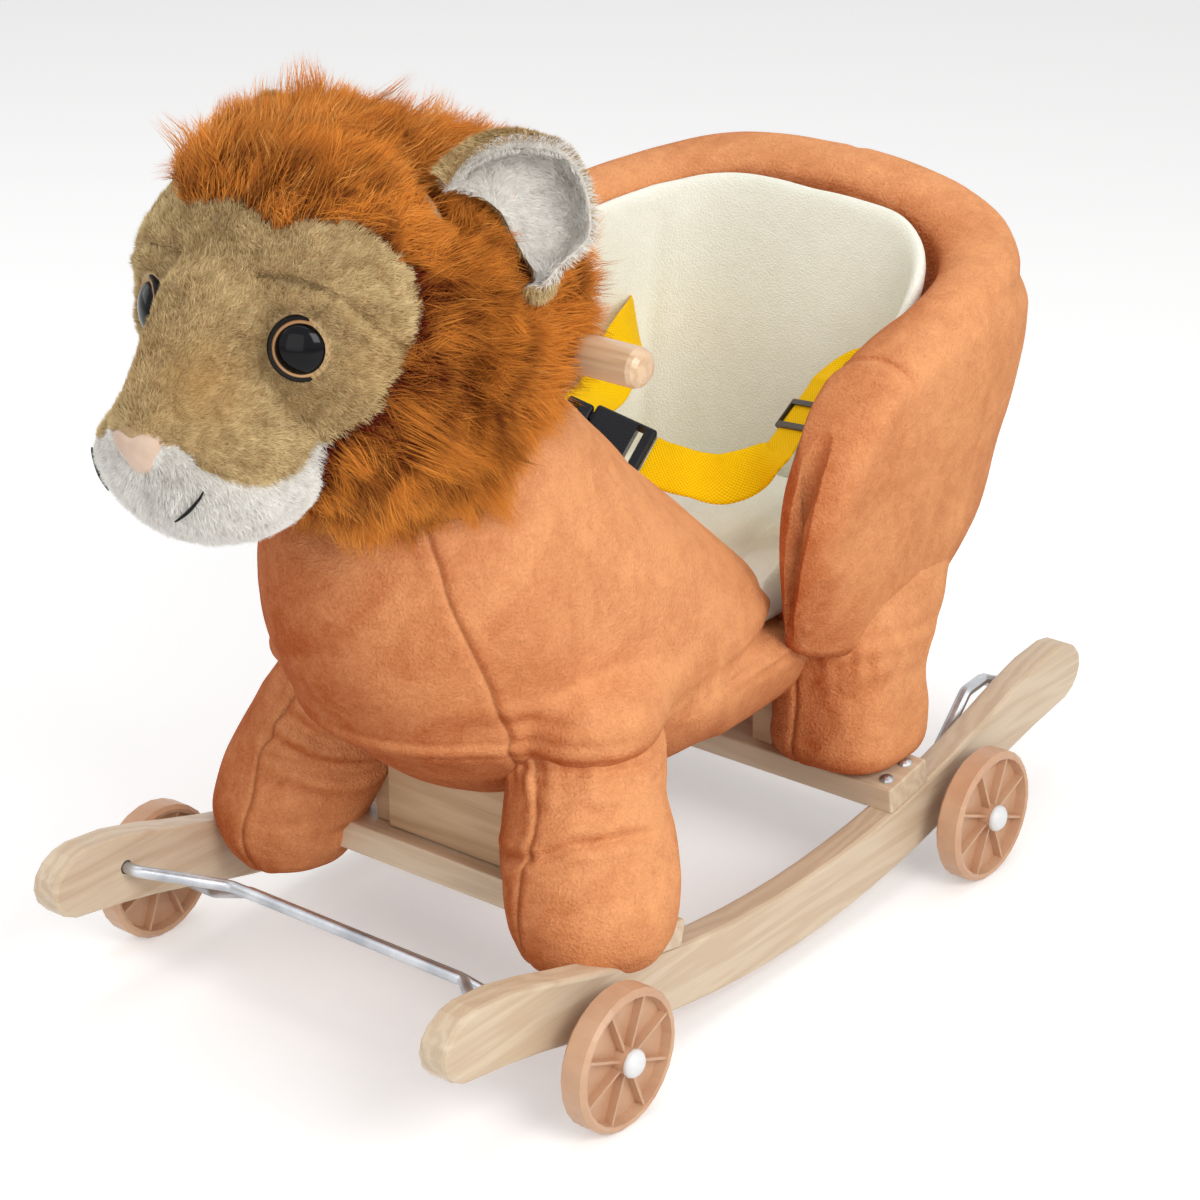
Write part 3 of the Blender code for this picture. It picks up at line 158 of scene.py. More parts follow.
def grid_normals(points: np.ndarray) -> np.ndarray:
    """Unit normals of closed rings, from central differences along both directions, facing outwards."""
    n = unit(np.cross(np.roll(points, -1, 1) - np.roll(points, 1, 1), np.gradient(points, axis=0)))
    outward = points - points.mean(axis=1, keepdims=True)
    return -n if np.sum(n * outward) < 0 else n


def bump(distance: np.ndarray, width: float) -> np.ndarray:
    """Bell curve exp(-(d/w)^2)."""
    return np.exp(-(distance / width)**2)


# Meshes

def mesh_from(name: str, points: np.ndarray, *faces: np.ndarray) -> bpy.types.Mesh:
    """A mesh from points in millimetres and face arrays, each with one number of corners.

    Args:
        name: the mesh's name.
        points: any grid of points, flattened in order.
        faces: integer arrays of shape (count, corners).

    Returns:
        The mesh, in the frame.
    """
    mesh = bpy.data.meshes.new(name)
    verts = framed(points).reshape(-1, 3).astype(np.float32)
    corners = np.concatenate([f.ravel() for f in faces]).astype(np.int32)
    sizes = np.concatenate([np.full(len(f), f.shape[1]) for f in faces])
    mesh.vertices.add(len(verts))
    mesh.vertices.foreach_set("co", verts.ravel())
    mesh.loops.add(len(corners))
    mesh.loops.foreach_set("vertex_index", corners)
    mesh.polygons.add(len(sizes))
    mesh.polygons.foreach_set("loop_start", (np.cumsum(sizes) - sizes).astype(np.int32))
    mesh.update(calc_edges=True)
    return mesh


def add_value(mesh: bpy.types.Mesh, name: str, values: np.ndarray) -> None:
    """Stores one number for each point of the mesh, for its material to read."""
    layer = mesh.attributes.new(name, "FLOAT", "POINT")
    layer.data.foreach_set("value", np.asarray(values, np.float32).ravel())


def add_uv(mesh: bpy.types.Mesh, uv: np.ndarray) -> None:
    """Gives each point of the mesh its place on the flat cloth, in metres."""
    layer = mesh.uv_layers.new(name="UVMap")
    index = np.zeros(len(mesh.loops), np.int32)
    mesh.loops.foreach_get("vertex_index", index)
    layer.data.foreach_set("uv", np.asarray(uv, np.float32).reshape(-1, 2)[index].ravel())


def quads_of(rows: int, columns: int, wrap: bool) -> np.ndarray:
    """Corner numbers of the faces of a grid, whose rows may close on themselves."""
    i, j = np.meshgrid(np.arange(rows - 1), np.arange(columns if wrap else columns - 1), indexing="ij")
    low, high, after = i * columns, (i + 1) * columns, (j + 1) % columns
    return np.stack([low + j, low + after, high + after, high + j], -1).reshape(-1, 4)


def face_out(mesh: bpy.types.Mesh) -> None:
    """Turns every face of a closed mesh outwards."""
    bm = bmesh.new()
    bm.from_mesh(mesh)
    bmesh.ops.recalc_face_normals(bm, faces=bm.faces)
    if bm.calc_volume(signed=True) < 0:
        bmesh.ops.reverse_faces(bm, faces=bm.faces)
    bm.to_mesh(mesh)
    bm.free()


def skin(name: str, rings: np.ndarray) -> bpy.types.Mesh:
    """A closed skin through rings of points, whose two ends are closed by a fan to their middle.

    Args:
        name: the mesh's name.
        rings: points of shape (rings, sides, 3).

    Returns:
        The mesh, facing out.
    """
    count, sides = rings.shape[:2]
    verts = rings.reshape(-1, 3)
    k = np.arange(sides)
    last = (count - 1) * sides
    low = np.stack([np.full(sides, len(verts)), (k + 1) % sides, k], -1)
    high = np.stack([np.full(sides, len(verts) + 1), last + k, last + (k + 1) % sides], -1)
    mesh = mesh_from(name, np.vstack([verts, rings[0].mean(0), rings[-1].mean(0)]),
                     quads_of(count, sides, True), low, high)
    face_out(mesh)
    return mesh


def lathe(profile: list, sides: int) -> np.ndarray:
    """Rings of a profile of (along, radius) turned about Z."""
    angle = np.arange(sides) * 2 * math.pi / sides
    along, radius = np.array(profile, float).T[..., None]
    return np.stack([radius * np.cos(angle), radius * np.sin(angle),
                     np.broadcast_to(along, (len(along), sides))], -1)


def mark_pile(mesh: bpy.types.Mesh, seam: np.ndarray | float = 0.0) -> None:
    """Marks a pile cloth: painted shade along its seams, and painted light that is paler where the surface
    faces the key lamp.

    Args:
        mesh: a mesh made by skin().
        seam: for each point of the rings, 1 on a seam and 0 away from it, where the groove gets painted
            shade.
    """
    normal = np.empty(len(mesh.vertices) * 3)
    mesh.vertex_normals.foreach_get("vector", normal)
    # Painted light: 1 where the normal faces the key lamp, to the right and above, down to 0 facing away.
    painted_light = np.clip(0.28 + 0.80 * (normal.reshape(-1, 3) @ np.array((0.70, 0.12, 0.66))), 0, 1)
    add_value(mesh, "painted_light", painted_light)
    marks = np.zeros(len(mesh.vertices))
    flat = np.ravel(seam)
    marks[:len(flat)] = flat if len(flat) > 1 else flat[0]
    add_value(mesh, "seam", marks)


def turned_frames(path: np.ndarray) -> tuple[np.ndarray, np.ndarray, np.ndarray]:
    """Tangent, side and upward directions along a path, carried along it without twist."""
    tangent = np.gradient(path, axis=0)
    tangent[0], tangent[-1] = path[1] - path[0], path[-1] - path[-2]
    tangent /= np.linalg.norm(tangent, axis=1, keepdims=True)
    side = np.cross(tangent[0], (0.3, 0.5, 0.8))
    sides = []
    for along in tangent:
        side = side - along * (side @ along)
        side /= np.linalg.norm(side)
        sides.append(side)
    sides = np.array(sides)
    return tangent, sides, np.cross(tangent, sides)


def tube(name: str, path: np.ndarray, radius: float | np.ndarray, sides: int = 20) -> bpy.types.Mesh:
    """A round bar: a circle carried along a path."""
    _, side, up = turned_frames(path)
    angle = np.arange(sides) * 2 * math.pi / sides
    r = np.broadcast_to(np.asarray(radius, float), len(path))[:, None, None]
    return skin(name, path[:, None] + r * (np.cos(angle)[:, None] * side[:, None]
                                           + np.sin(angle)[:, None] * up[:, None]))


def fillet_path(points: list, bend: float, steps: int = 10) -> np.ndarray:
    """Round the corners of a polyline with arcs of the given bend radius."""
    points = [np.asarray(p, float) for p in points]
    path = [points[0]]
    for before, here, after in zip(points, points[1:], points[2:]):
        u = (before - here) / np.linalg.norm(before - here)
        v = (after - here) / np.linalg.norm(after - here)
        half = math.acos(np.clip(u @ v, -1, 1)) / 2
        reach = bend / math.tan(half)
        centre = here + (u + v) / np.linalg.norm(u + v) * bend / math.sin(half)
        start, stop = here + u * reach - centre, here + v * reach - centre
        sweep = math.pi - 2 * half
        t = np.linspace(0, 1, steps + 1)[:, None]
        path += list(centre + (np.sin((1 - t) * sweep) * start + np.sin(t * sweep) * stop) / math.sin(sweep))
    path.append(points[-1])
    return np.array(path)


def show(name: str, mesh: bpy.types.Mesh, finish: "Finish", body: str = BASE, replaces: tuple = (),
         sharp: float | None = None) -> bpy.types.Object:
    """Links a finished piece, dresses it, and hangs it on its body.

    Args:
        name: the piece's name.
        mesh: its mesh, in the frame.
        finish: what it is made of.
        body: the moving body that carries it.
        replaces: the solids that it stands for.
        sharp: faces that meet at more than this many degrees keep a hard edge.

    Returns:
        The object.
    """
    mesh.shade_smooth()
    if sharp is not None:
        mesh.set_sharp_from_angle(angle=math.radians(sharp))
    mesh.materials.append(finish.material())
    piece = bpy.data.objects.new(name, mesh)
    bpy.context.scene.collection.objects.link(piece)
    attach(piece, body)
    if replaces:
        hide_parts(*replaces)
    LOG.info("%s: %d points, on %s", name, len(mesh.vertices), body)
    return piece


# Finishes

def node(tree: bpy.types.NodeTree, kind: str, inputs: dict | None = None, **settings) -> bpy.types.Node:
    """Adds a node, sets its options, and sets or links its inputs.

    Args:
        tree: the node tree.
        kind: the node's type.
        inputs: input name or number to a value, or to the socket that feeds it.
        settings: the node's own options.

    Returns:
        The node.
    """
    made = tree.nodes.new(kind)
    for key, value in settings.items():
        setattr(made, key, value)
    return feed(tree, made, inputs or {})


def feed(tree: bpy.types.NodeTree, made: bpy.types.Node, inputs: dict) -> bpy.types.Node:
    """Sets each named input of a node, or links it to the socket given for it."""
    for key, value in inputs.items():
        if isinstance(value, bpy.types.NodeSocket):
            tree.links.new(value, made.inputs[key])
        else:
            made.inputs[key].default_value = value
    return made


def mixed(tree: bpy.types.NodeTree, share: object, a: object, b: object) -> bpy.types.NodeSocket:
    """The colour a mixed with b by a share from 0 to 1."""
    return node(tree, "ShaderNodeMix", {0: share, 6: a, 7: b}, data_type="RGBA").outputs[2]


def maths(tree: bpy.types.NodeTree, operation: str, *values: object,
          clamp: bool = False) -> bpy.types.NodeSocket:
    """One sum of up to three values."""
    made = node(tree, "ShaderNodeMath", dict(enumerate(values)), operation=operation, use_clamp=clamp)
    return made.outputs[0]


def noise(tree: bpy.types.NodeTree, place: object, scale: object, detail: float,
          **more: float) -> bpy.types.NodeSocket:
    """Random heights over a place, with a noise texture's further inputs by their names."""
    inputs = {"Vector": place, "Scale": scale, "Detail": detail, **{k.title(): v for k, v in more.items()}}
    return node(tree, "ShaderNodeTexNoise", inputs).outputs[0]


def stored(tree: bpy.types.NodeTree, *names: str) -> list[bpy.types.NodeSocket]:
    """Numbers stored on the mesh by add_value(), by their names."""
    return [node(tree, "ShaderNodeAttribute", attribute_name=name).outputs["Fac"] for name in names]


def spread(tree: bpy.types.NodeTree, value: object, low: float, high: float, to_low: float = 0.0,
           to_high: float = 1.0) -> bpy.types.NodeSocket:
    """A value stretched from one range to another, and held there."""
    return node(tree, "ShaderNodeMapRange", {0: value, 1: low, 2: high, 3: to_low, 4: to_high}).outputs[0]


def rgb(red: float, green: float, blue: float) -> tuple[float, float, float, float]:
    """A screen colour of 0 to 255 as the linear colour a shader takes."""
    c = np.array([red, green, blue]) / 255
    linear = np.where(c <= 0.04045, c / 12.92, ((c + 0.055) / 1.055)**2.4)
    return (*linear.tolist(), 1.0)


def effect(name: str, build: Callable, inputs: dict, outputs: tuple) -> bpy.types.NodeTree:
    """A shader node group, built once and then shared.

    Args:
        name: the group's name.
        build: fills the tree, given the tree and its input sockets, and returns output sockets by name.
        inputs: input name to (socket type, default).
        outputs: (name, socket type) of each output.

    Returns:
        The group's tree.
    """
    found = bpy.data.node_groups.get(name)
    if found:
        return found
    tree = bpy.data.node_groups.new(name, "ShaderNodeTree")
    for key, (kind, default) in inputs.items():
        socket = tree.interface.new_socket(key, in_out="INPUT", socket_type=kind)
        if default is not None:
            socket.default_value = default
    for key, kind in outputs:
        tree.interface.new_socket(key, in_out="OUTPUT", socket_type=kind)
    entry = tree.nodes.new("NodeGroupInput")
    made = build(tree, entry.outputs)
    leave = tree.nodes.new("NodeGroupOutput")
    for key, _ in outputs:
        tree.links.new(made[key], leave.inputs[key])
    return tree


def pile_effect() -> bpy.types.NodeTree:
    """Pile cloth: fine tufts, broad patches where a hand has brushed the pile, and painted light on the side
    facing the key lamp.
    """
    def build(tree: bpy.types.NodeTree, given: object) -> dict:
        """Three noises: tufts, drifts in the pile's lay, and brushed patches, plus a painted light share."""
        tufts = noise(tree, given["Place"], given["Tufts per metre"], 2.0, roughness=0.6)
        drift = noise(tree, given["Place"], 95.0, 3.0, roughness=0.6, distortion=0.6)
        patch = noise(tree, given["Place"], 14.0, 3.0, roughness=0.55, distortion=1.2)
        fine = spread(tree, tufts, 0.3, 0.7)
        broad = maths(tree, "MULTIPLY", spread(tree, patch, 0.32, 0.68), given["Brushing"])
        wander = maths(tree, "MULTIPLY", spread(tree, drift, 0.3, 0.7), 0.22)
        # Painted light: the lamp-facing share stored on the mesh raises the shade toward the light tone.
        painted_light_share = maths(tree, "MULTIPLY", given["Painted_light"], 0.8)
        shade = maths(tree, "ADD", maths(tree, "ADD", maths(tree, "MULTIPLY", fine, 0.22), wander),
                      maths(tree, "SUBTRACT", maths(tree, "ADD", broad, painted_light_share), 0.22), clamp=True)
        height = maths(tree, "ADD", fine, maths(tree, "MULTIPLY", drift, 0.8))
        return {"Shade": shade, "Height": height}
    return effect("pile cloth", build, {"Place": ("NodeSocketVector", None),
                                        "Tufts per metre": ("NodeSocketFloat", 700.0),
                                        "Painted_light": ("NodeSocketFloat", 0.5),
                                        "Brushing": ("NodeSocketFloat", 0.4)},
                  (("Shade", "NodeSocketFloat"), ("Height", "NodeSocketFloat")))


def grain_effect() -> bpy.types.NodeTree:
    """Sawn wood: long wavy growth lines and short dark pores, drawn along the place's X."""
    def build(tree: bpy.types.NodeTree, given: object) -> dict:
        """Stretched noise bends a band pattern; a finer, longer noise gives the pores."""
        warp = noise(tree, given["Place"], 1.4, 2.0)
        split = node(tree, "ShaderNodeSeparateXYZ", {0: given["Place"]})
        across = maths(tree, "ADD", split.outputs[1], maths(tree, "MULTIPLY", split.outputs[2], 0.6))
        rings = maths(tree, "SINE", maths(tree, "ADD", maths(tree, "MULTIPLY", across, 9.0),
                                          maths(tree, "MULTIPLY", warp, 16.0)))
        flow = node(tree, "ShaderNodeMapping", {"Vector": given["Place"], "Scale": (1.0, 9.0, 9.0)})
        fibre = noise(tree, flow.outputs[0], 2.2, 4.0, roughness=0.65)
        dark = spread(tree, fibre, 0.60, 0.72)
        lines = spread(tree, rings, -1.0, 1.0)
        grain = maths(tree, "ADD", maths(tree, "MULTIPLY", lines, 0.55),
                      maths(tree, "MULTIPLY", spread(tree, fibre, 0.3, 0.7), 0.45), clamp=True)
        return {"Grain": grain, "Pores": dark}
    return effect("wood grain", build, {"Place": ("NodeSocketVector", None)},
                  (("Grain", "NodeSocketFloat"), ("Pores", "NodeSocketFloat")))


def weave_effect() -> bpy.types.NodeTree:
    """Woven cloth: threads crossing over and under, from a place on the flat cloth in metres."""
    def build(tree: bpy.types.NodeTree, given: object) -> dict:
        """Crossed sines: sin(u) sin(v) makes the over-and-under, |sin| rounds each thread."""
        split = node(tree, "ShaderNodeSeparateXYZ", {0: given["Place"]})
        u = maths(tree, "MULTIPLY", split.outputs[0], given["Threads per metre"])
        v = maths(tree, "MULTIPLY", split.outputs[1], given["Threads per metre"])
        wave_u = maths(tree, "SINE", maths(tree, "MULTIPLY", u, math.pi))
        wave_v = maths(tree, "SINE", maths(tree, "MULTIPLY", v, math.pi))
        over = spread(tree, maths(tree, "MULTIPLY", wave_u, wave_v), -0.6, 0.6)
        return {"Thread": over}
    return effect("woven cloth", build, {"Place": ("NodeSocketVector", None),
                                         "Threads per metre": ("NodeSocketFloat", 900.0)},
                  (("Thread", "NodeSocketFloat"),))


@dataclass(frozen=True)
class Finish:
    """What a piece is made of. Each kind builds its own nodes once."""

    name: str
    slot: str
    roughness: float = 0.6

    def material(self) -> bpy.types.Material:
        """The material, made the first time it is asked for."""
        found = bpy.data.materials.get(self.name)
        if found:
            return found
        made = bpy.data.materials.new(self.name)
        made.use_nodes = True
        shader = made.node_tree.nodes["Principled BSDF"]
        shader.inputs["Roughness"].default_value = self.roughness
        self.dress(made.node_tree, shader)
        return made

    def dress(self, tree: bpy.types.NodeTree, shader: bpy.types.Node) -> None:
        """Adds this finish's own colour and relief."""

    @staticmethod
    def place(tree: bpy.types.NodeTree, output: str = "Object") -> bpy.types.NodeSocket:
        """Where on the piece the shader is."""
        return node(tree, "ShaderNodeTexCoord").outputs[output]

    @staticmethod
    def raise_by(tree: bpy.types.NodeTree, shader: bpy.types.Node, height: object, depth: float,
                 strength: float = 1.0) -> None:
        """Feeds a height map to the shader's normal, with its depth in metres."""
        relief = node(tree, "ShaderNodeBump", {"Height": height, "Distance": depth, "Strength": strength})
        tree.links.new(relief.outputs[0], shader.inputs["Normal"])

    @staticmethod
    def shared(tree: bpy.types.NodeTree, group: bpy.types.NodeTree, inputs: dict) -> bpy.types.Node:
        """Places a shared effect in this material."""
        return node(tree, "ShaderNodeGroup", inputs, node_tree=group)


@dataclass(frozen=True)
class Pile(Finish):
    """Short-pile plush, velour or fleece."""

    dark: tuple = (0, 0, 0)
    light: tuple = (0, 0, 0)
    brushing: float = 0.4
    tufts: float = 700.0
    depth: float = 0.0006
    sheen: float = 0.35

    def dress(self, tree: bpy.types.NodeTree, shader: bpy.types.Node) -> None:
        """Two tones by tufts, patches and painted light, paler on the side facing the key lamp, with painted
        shade in the seams and a soft sheen.
        """
        # The first stored value is painted light, paler toward the key lamp; the second marks seams for
        # painted shade.
        painted_light, seam = stored(tree, "painted_light", "seam")
        pile = self.shared(tree, pile_effect(), {"Place": self.place(tree), "Tufts per metre": self.tufts,
                                                 "Brushing": self.brushing, "Painted_light": painted_light})
        cloth = mixed(tree, pile.outputs["Shade"], rgb(*self.dark), rgb(*self.light))
        # Painted shade: along the seams the colour is drawn toward 0.55 of the dark tone.
        sewn = mixed(tree, maths(tree, "MULTIPLY", seam, 0.4), cloth, rgb(*(0.55 * c for c in self.dark)))
        feed(tree, shader, {"Base Color": sewn, "Sheen Weight": self.sheen, "Sheen Roughness": 0.45,
                            "Sheen Tint": rgb(*self.light), "Specular IOR Level": 0.15})
        self.raise_by(tree, shader, pile.outputs["Height"], self.depth)


@dataclass(frozen=True)
class FacePile(Finish):
    """The face's plush: tan above a sewn line and white below it, read from the skin."""

    dark: tuple = (160, 124, 78)
    light: tuple = (210, 180, 132)
    white_dark: tuple = (206, 200, 190)
    white_light: tuple = (242, 238, 230)

    def dress(self, tree: bpy.types.NodeTree, shader: bpy.types.Node) -> None:
        """Mixes both cloths by the skin's own white attribute, and darkens the stained places."""
        pile = self.shared(tree, pile_effect(), {"Place": self.place(tree), "Tufts per metre": 420.0,
                                                 "Brushing": 0.4})
        shade = pile.outputs["Shade"]
        white, stain = stored(tree, "white", "stain")
        tan = mixed(tree, shade, rgb(*self.dark), rgb(*self.light))
        tan = mixed(tree, stain, tan, rgb(190, 145, 80))
        pale = mixed(tree, shade, rgb(*self.white_dark), rgb(*self.white_light))
        feed(tree, shader, {"Base Color": mixed(tree, spread(tree, white, 0.35, 0.65), tan, pale),
                            "Sheen Weight": 0.3, "Specular IOR Level": 0.12})
        self.raise_by(tree, shader, pile.outputs["Height"], 0.001)


@dataclass(frozen=True)
class Hair(Finish):
    """Strands: darker at the root, lighter at the tip, each strand a little different."""

    root: tuple = (88, 22, 4)
    tip: tuple = (222, 138, 54)
    stray: tuple = (242, 184, 104)
    patches: float = 0.7

    def dress(self, tree: bpy.types.NodeTree, shader: bpy.types.Node) -> None:
        """Reads the strand's own along and tone attributes, and varies both over the mane."""
        along, tone = stored(tree, "along", "tone")
        patch = spread(tree, noise(tree, self.place(tree), 26.0, 3.0, distortion=1.0), 0.35, 0.65)
        lift = maths(tree, "MULTIPLY_ADD", patch, self.patches, -self.patches / 2)
        share = maths(tree, "ADD", maths(tree, "ADD", maths(tree, "POWER", along, 0.8), lift),
                      maths(tree, "MULTIPLY", maths(tree, "SUBTRACT", tone, 0.5), 0.6), clamp=True)
        base = mixed(tree, share, rgb(*self.root), rgb(*self.tip))
        bright = maths(tree, "MULTIPLY", spread(tree, tone, 0.8, 1.0, 0.0, 0.7), along)
        feed(tree, shader, {"Base Color": mixed(tree, bright, base, rgb(*self.stray)),
                            "Specular IOR Level": 0.08})


@dataclass(frozen=True)
class ShortFur(Finish):
    """The face's and ears' own strands: tan or white by the skin they stand on."""

    def dress(self, tree: bpy.types.NodeTree, shader: bpy.types.Node) -> None:
        """Darker at the root, lighter at the tip, and no two strands alike."""
        along, tone, white, stain = stored(tree, "along", "tone", "white", "stain")
        patch = noise(tree, self.place(tree), 90.0, 3.0, distortion=1.0)
        lift = maths(tree, "ADD", spread(tree, patch, 0.35, 0.65, -0.22, 0.22),
                     maths(tree, "MULTIPLY", tone, 0.5))
        share = maths(tree, "ADD", maths(tree, "MULTIPLY", along, 0.6), lift, clamp=True)
        tan = mixed(tree, share, rgb(146, 112, 62), rgb(236, 212, 160))
        tan = mixed(tree, maths(tree, "MULTIPLY", stain, 0.8), tan, rgb(196, 148, 84))
        pale = mixed(tree, share, rgb(212, 207, 200), rgb(254, 252, 247))
        feed(tree, shader, {"Base Color": mixed(tree, spread(tree, white, 0.4, 0.6), tan, pale),
                            "Specular IOR Level": 0.15})


@dataclass(frozen=True)
class Wood(Finish):
    """Beech or plywood, with its grain drawn along one axis."""

    dark: tuple = (198, 172, 142)
    light: tuple = (218, 200, 174)
    pore: tuple = (160, 124, 88)
    along: Axis = Axis.Y
    coat: float = 0.0

    def dress(self, tree: bpy.types.NodeTree, shader: bpy.types.Node) -> None:
        """Growth lines along the board, fine pores, and a thin varnish where it is coated."""
        turn = {Axis.X: (0, 0, 0), Axis.Y: (0, 0, math.pi / 2), Axis.Z: (0, math.pi / 2, 0)}[self.along]
        lengthwise = node(tree, "ShaderNodeMapping", {"Vector": self.place(tree), "Rotation": turn})
        spot = node(tree, "ShaderNodeMapping", {"Vector": lengthwise.outputs[0], "Scale": (6.0, 60.0, 60.0)})
        wood = self.shared(tree, grain_effect(), {"Place": spot.outputs[0]})
        base = mixed(tree, wood.outputs["Grain"], rgb(*self.dark), rgb(*self.light))
        pores = maths(tree, "MULTIPLY", wood.outputs["Pores"], 0.25)
        feed(tree, shader, {"Base Color": mixed(tree, pores, base, rgb(*self.pore)),
                            "Coat Weight": self.coat, "Coat Roughness": 0.12})
        self.raise_by(tree, shader, wood.outputs["Grain"], 0.00008, 0.6)


@dataclass(frozen=True)
class Moulded(Finish):
    """Moulded plastic with a faint skin texture and slight colour drift."""

    colour: tuple = (222, 175, 135)
    shade: tuple = (206, 156, 116)
    grain: float = 900.0
    depth: float = 0.00006
    metal: float = 0.0
    specular: float = 0.5

    def dress(self, tree: bpy.types.NodeTree, shader: bpy.types.Node) -> None:
        """A broad drift of colour, and a fine relief that also varies the gloss."""
        spot = self.place(tree)
        drift = spread(tree, noise(tree, spot, 40.0, 3.0), 0.35, 0.65)
        fine = noise(tree, spot, self.grain, 2.0)
        gloss = spread(tree, fine, 0.3, 0.7, self.roughness - 0.06, self.roughness + 0.06)
        feed(tree, shader, {"Base Color": mixed(tree, drift, rgb(*self.shade), rgb(*self.colour)),
                            "Metallic": self.metal, "Specular IOR Level": self.specular, "Roughness": gloss})
        self.raise_by(tree, shader, fine, self.depth)


@dataclass(frozen=True)
class Webbing(Finish):
    """Close-woven belt webbing, with a selvedge along each side."""

    dark: tuple = (228, 170, 0)
    light: tuple = (255, 216, 20)

    def dress(self, tree: bpy.types.NodeTree, shader: bpy.types.Node) -> None:
        """A rib weave from the strap's own flat coordinates."""
        weave = self.shared(tree, weave_effect(), {"Place": self.place(tree, "UV"),
                                                   "Threads per metre": 900.0})
        drift = spread(tree, noise(tree, self.place(tree), 60.0, 2.0), 0.3, 0.7, 0.75, 1.0)
        share = maths(tree, "MULTIPLY", weave.outputs["Thread"], drift)
        feed(tree, shader, {"Base Color": mixed(tree, share, rgb(*self.dark), rgb(*self.light)),
                            "Specular IOR Level": 0.08})
        self.raise_by(tree, shader, weave.outputs["Thread"], 0.0003)


# The plush and lining tones are mixed by noise and by painted light: light toward the key lamp, dark away
# from it.
PLUSH = Pile("orange plush", "plush", 0.85, dark=(172, 80, 30), light=(242, 168, 114), brushing=0.28,
             tufts=620.0, depth=0.0008, sheen=0.08)
LINING = Pile("cream velour", "lining", 0.85, dark=(232, 231, 212), light=(250, 251, 240), brushing=0.14,
              tufts=900.0, depth=0.0004, sheen=0.15)
FACE = FacePile("face plush", "face", 0.9)
MANE_SKIN = Pile("mane backing", "mane", 0.9, dark=(86, 32, 12), light=(140, 64, 24), tufts=300.0)
MANE_HAIR = Hair("mane hair", "mane", 0.6)
FACE_FUR = ShortFur("short fur", "face", 0.8)
BEECH_LONG = Wood("beech along the rockers", "beech", 0.42, coat=0.1)
BEECH_CROSS = Wood("beech across", "beech", 0.42, along=Axis.X, coat=0.1)
PLY = Wood("plywood", "ply", 0.6, dark=(186, 150, 114), light=(212, 182, 146), along=Axis.X)
HANDLE_WOOD = Wood("varnished handle", "handle", 0.3, dark=(198, 160, 122), light=(224, 192, 156),
                   along=Axis.X, coat=0.4)
WHEEL = Moulded("tan plastic", "wheel", 0.4, colour=(206, 166, 134), shade=(196, 152, 120))
CAP = Moulded("white plastic", "cap", 0.35, colour=(232, 234, 235), shade=(222, 224, 226))
STEEL = Moulded("zinc plated steel", "steel", 0.42, colour=(205, 208, 212), shade=(170, 174, 180), metal=1.0,
                grain=500.0, depth=0.00004)
EYE_RIM = Moulded("eye rim", "eye", 0.55, colour=(16, 12, 12), shade=(8, 6, 6), specular=0.2)
EYE_BALL = Moulded("eye ball", "eye", 0.1, colour=(3, 3, 8), shade=(2, 2, 5), depth=0.0, specular=0.2)
IRIS = Moulded("iris gold", "eye", 0.3, colour=(196, 150, 100), shade=(160, 112, 70))
NOSE = Moulded("nose satin", "nose", 0.5, colour=(218, 190, 168), shade=(200, 168, 146), grain=500.0,
               depth=0.0002)
THREAD = Moulded("black thread", "eye", 0.6, colour=(12, 10, 10), shade=(6, 5, 5), specular=0.2)
BELT = Webbing("yellow webbing", "webbing", 0.62, dark=(238, 176, 0), light=(255, 216, 0))
BUCKLE = Moulded("black plastic", "buckle", 0.3, colour=(6, 6, 16), shade=(3, 3, 9), grain=700.0,
                 specular=0.18)
ADJUSTER = Moulded("dark plastic", "buckle", 0.35, colour=(58, 46, 42), shade=(40, 32, 30), grain=700.0)


# Strands

@dataclass(frozen=True)
class Growth:
    """How hair stands on a skin.

    length and width are in millimetres; lift is how steeply it leaves the skin, droop how far it
    hangs, and clumps how many locks it is gathered into, each pulled together by pull.
    """

    length: float
    lift: float = 0.5
    droop: float = 0.2
    width: float = 0.6
    segments: int = 3
    curl: float = 0.1
    wander: float = 0.35
    clumps: int = 0
    pull: float = 0.7


def nearest(points: np.ndarray, marks: np.ndarray) -> np.ndarray:
    """Which mark is nearest to each point, worked out in blocks to spare memory."""
    owner = np.empty(len(points), int)
    for start in range(0, len(points), 3000):
        block = points[start:start + 3000]
        far = (block**2).sum(1)[:, None] - 2 * block @ marks.T + (marks**2).sum(1)
        owner[start:start + 3000] = far.argmin(1)
    return owner


def strand_lines(roots: np.ndarray, normals: np.ndarray, flow: np.ndarray, length: np.ndarray,
                 how: Growth, s: np.ndarray) -> np.ndarray:
    """Centre lines root + L (s lift n + s^1.3 (1 - lift) f - s^2 droop z), read at each s."""
    rise = s[None, :, None]
    n, f, reach = normals[:, None], flow[:, None], length[:, None, None]
    return (roots[:, None] + reach * (rise * how.lift * n + rise**1.3 * (1 - how.lift) * f)
            - reach * rise**2 * np.array([0, 0, how.droop]))


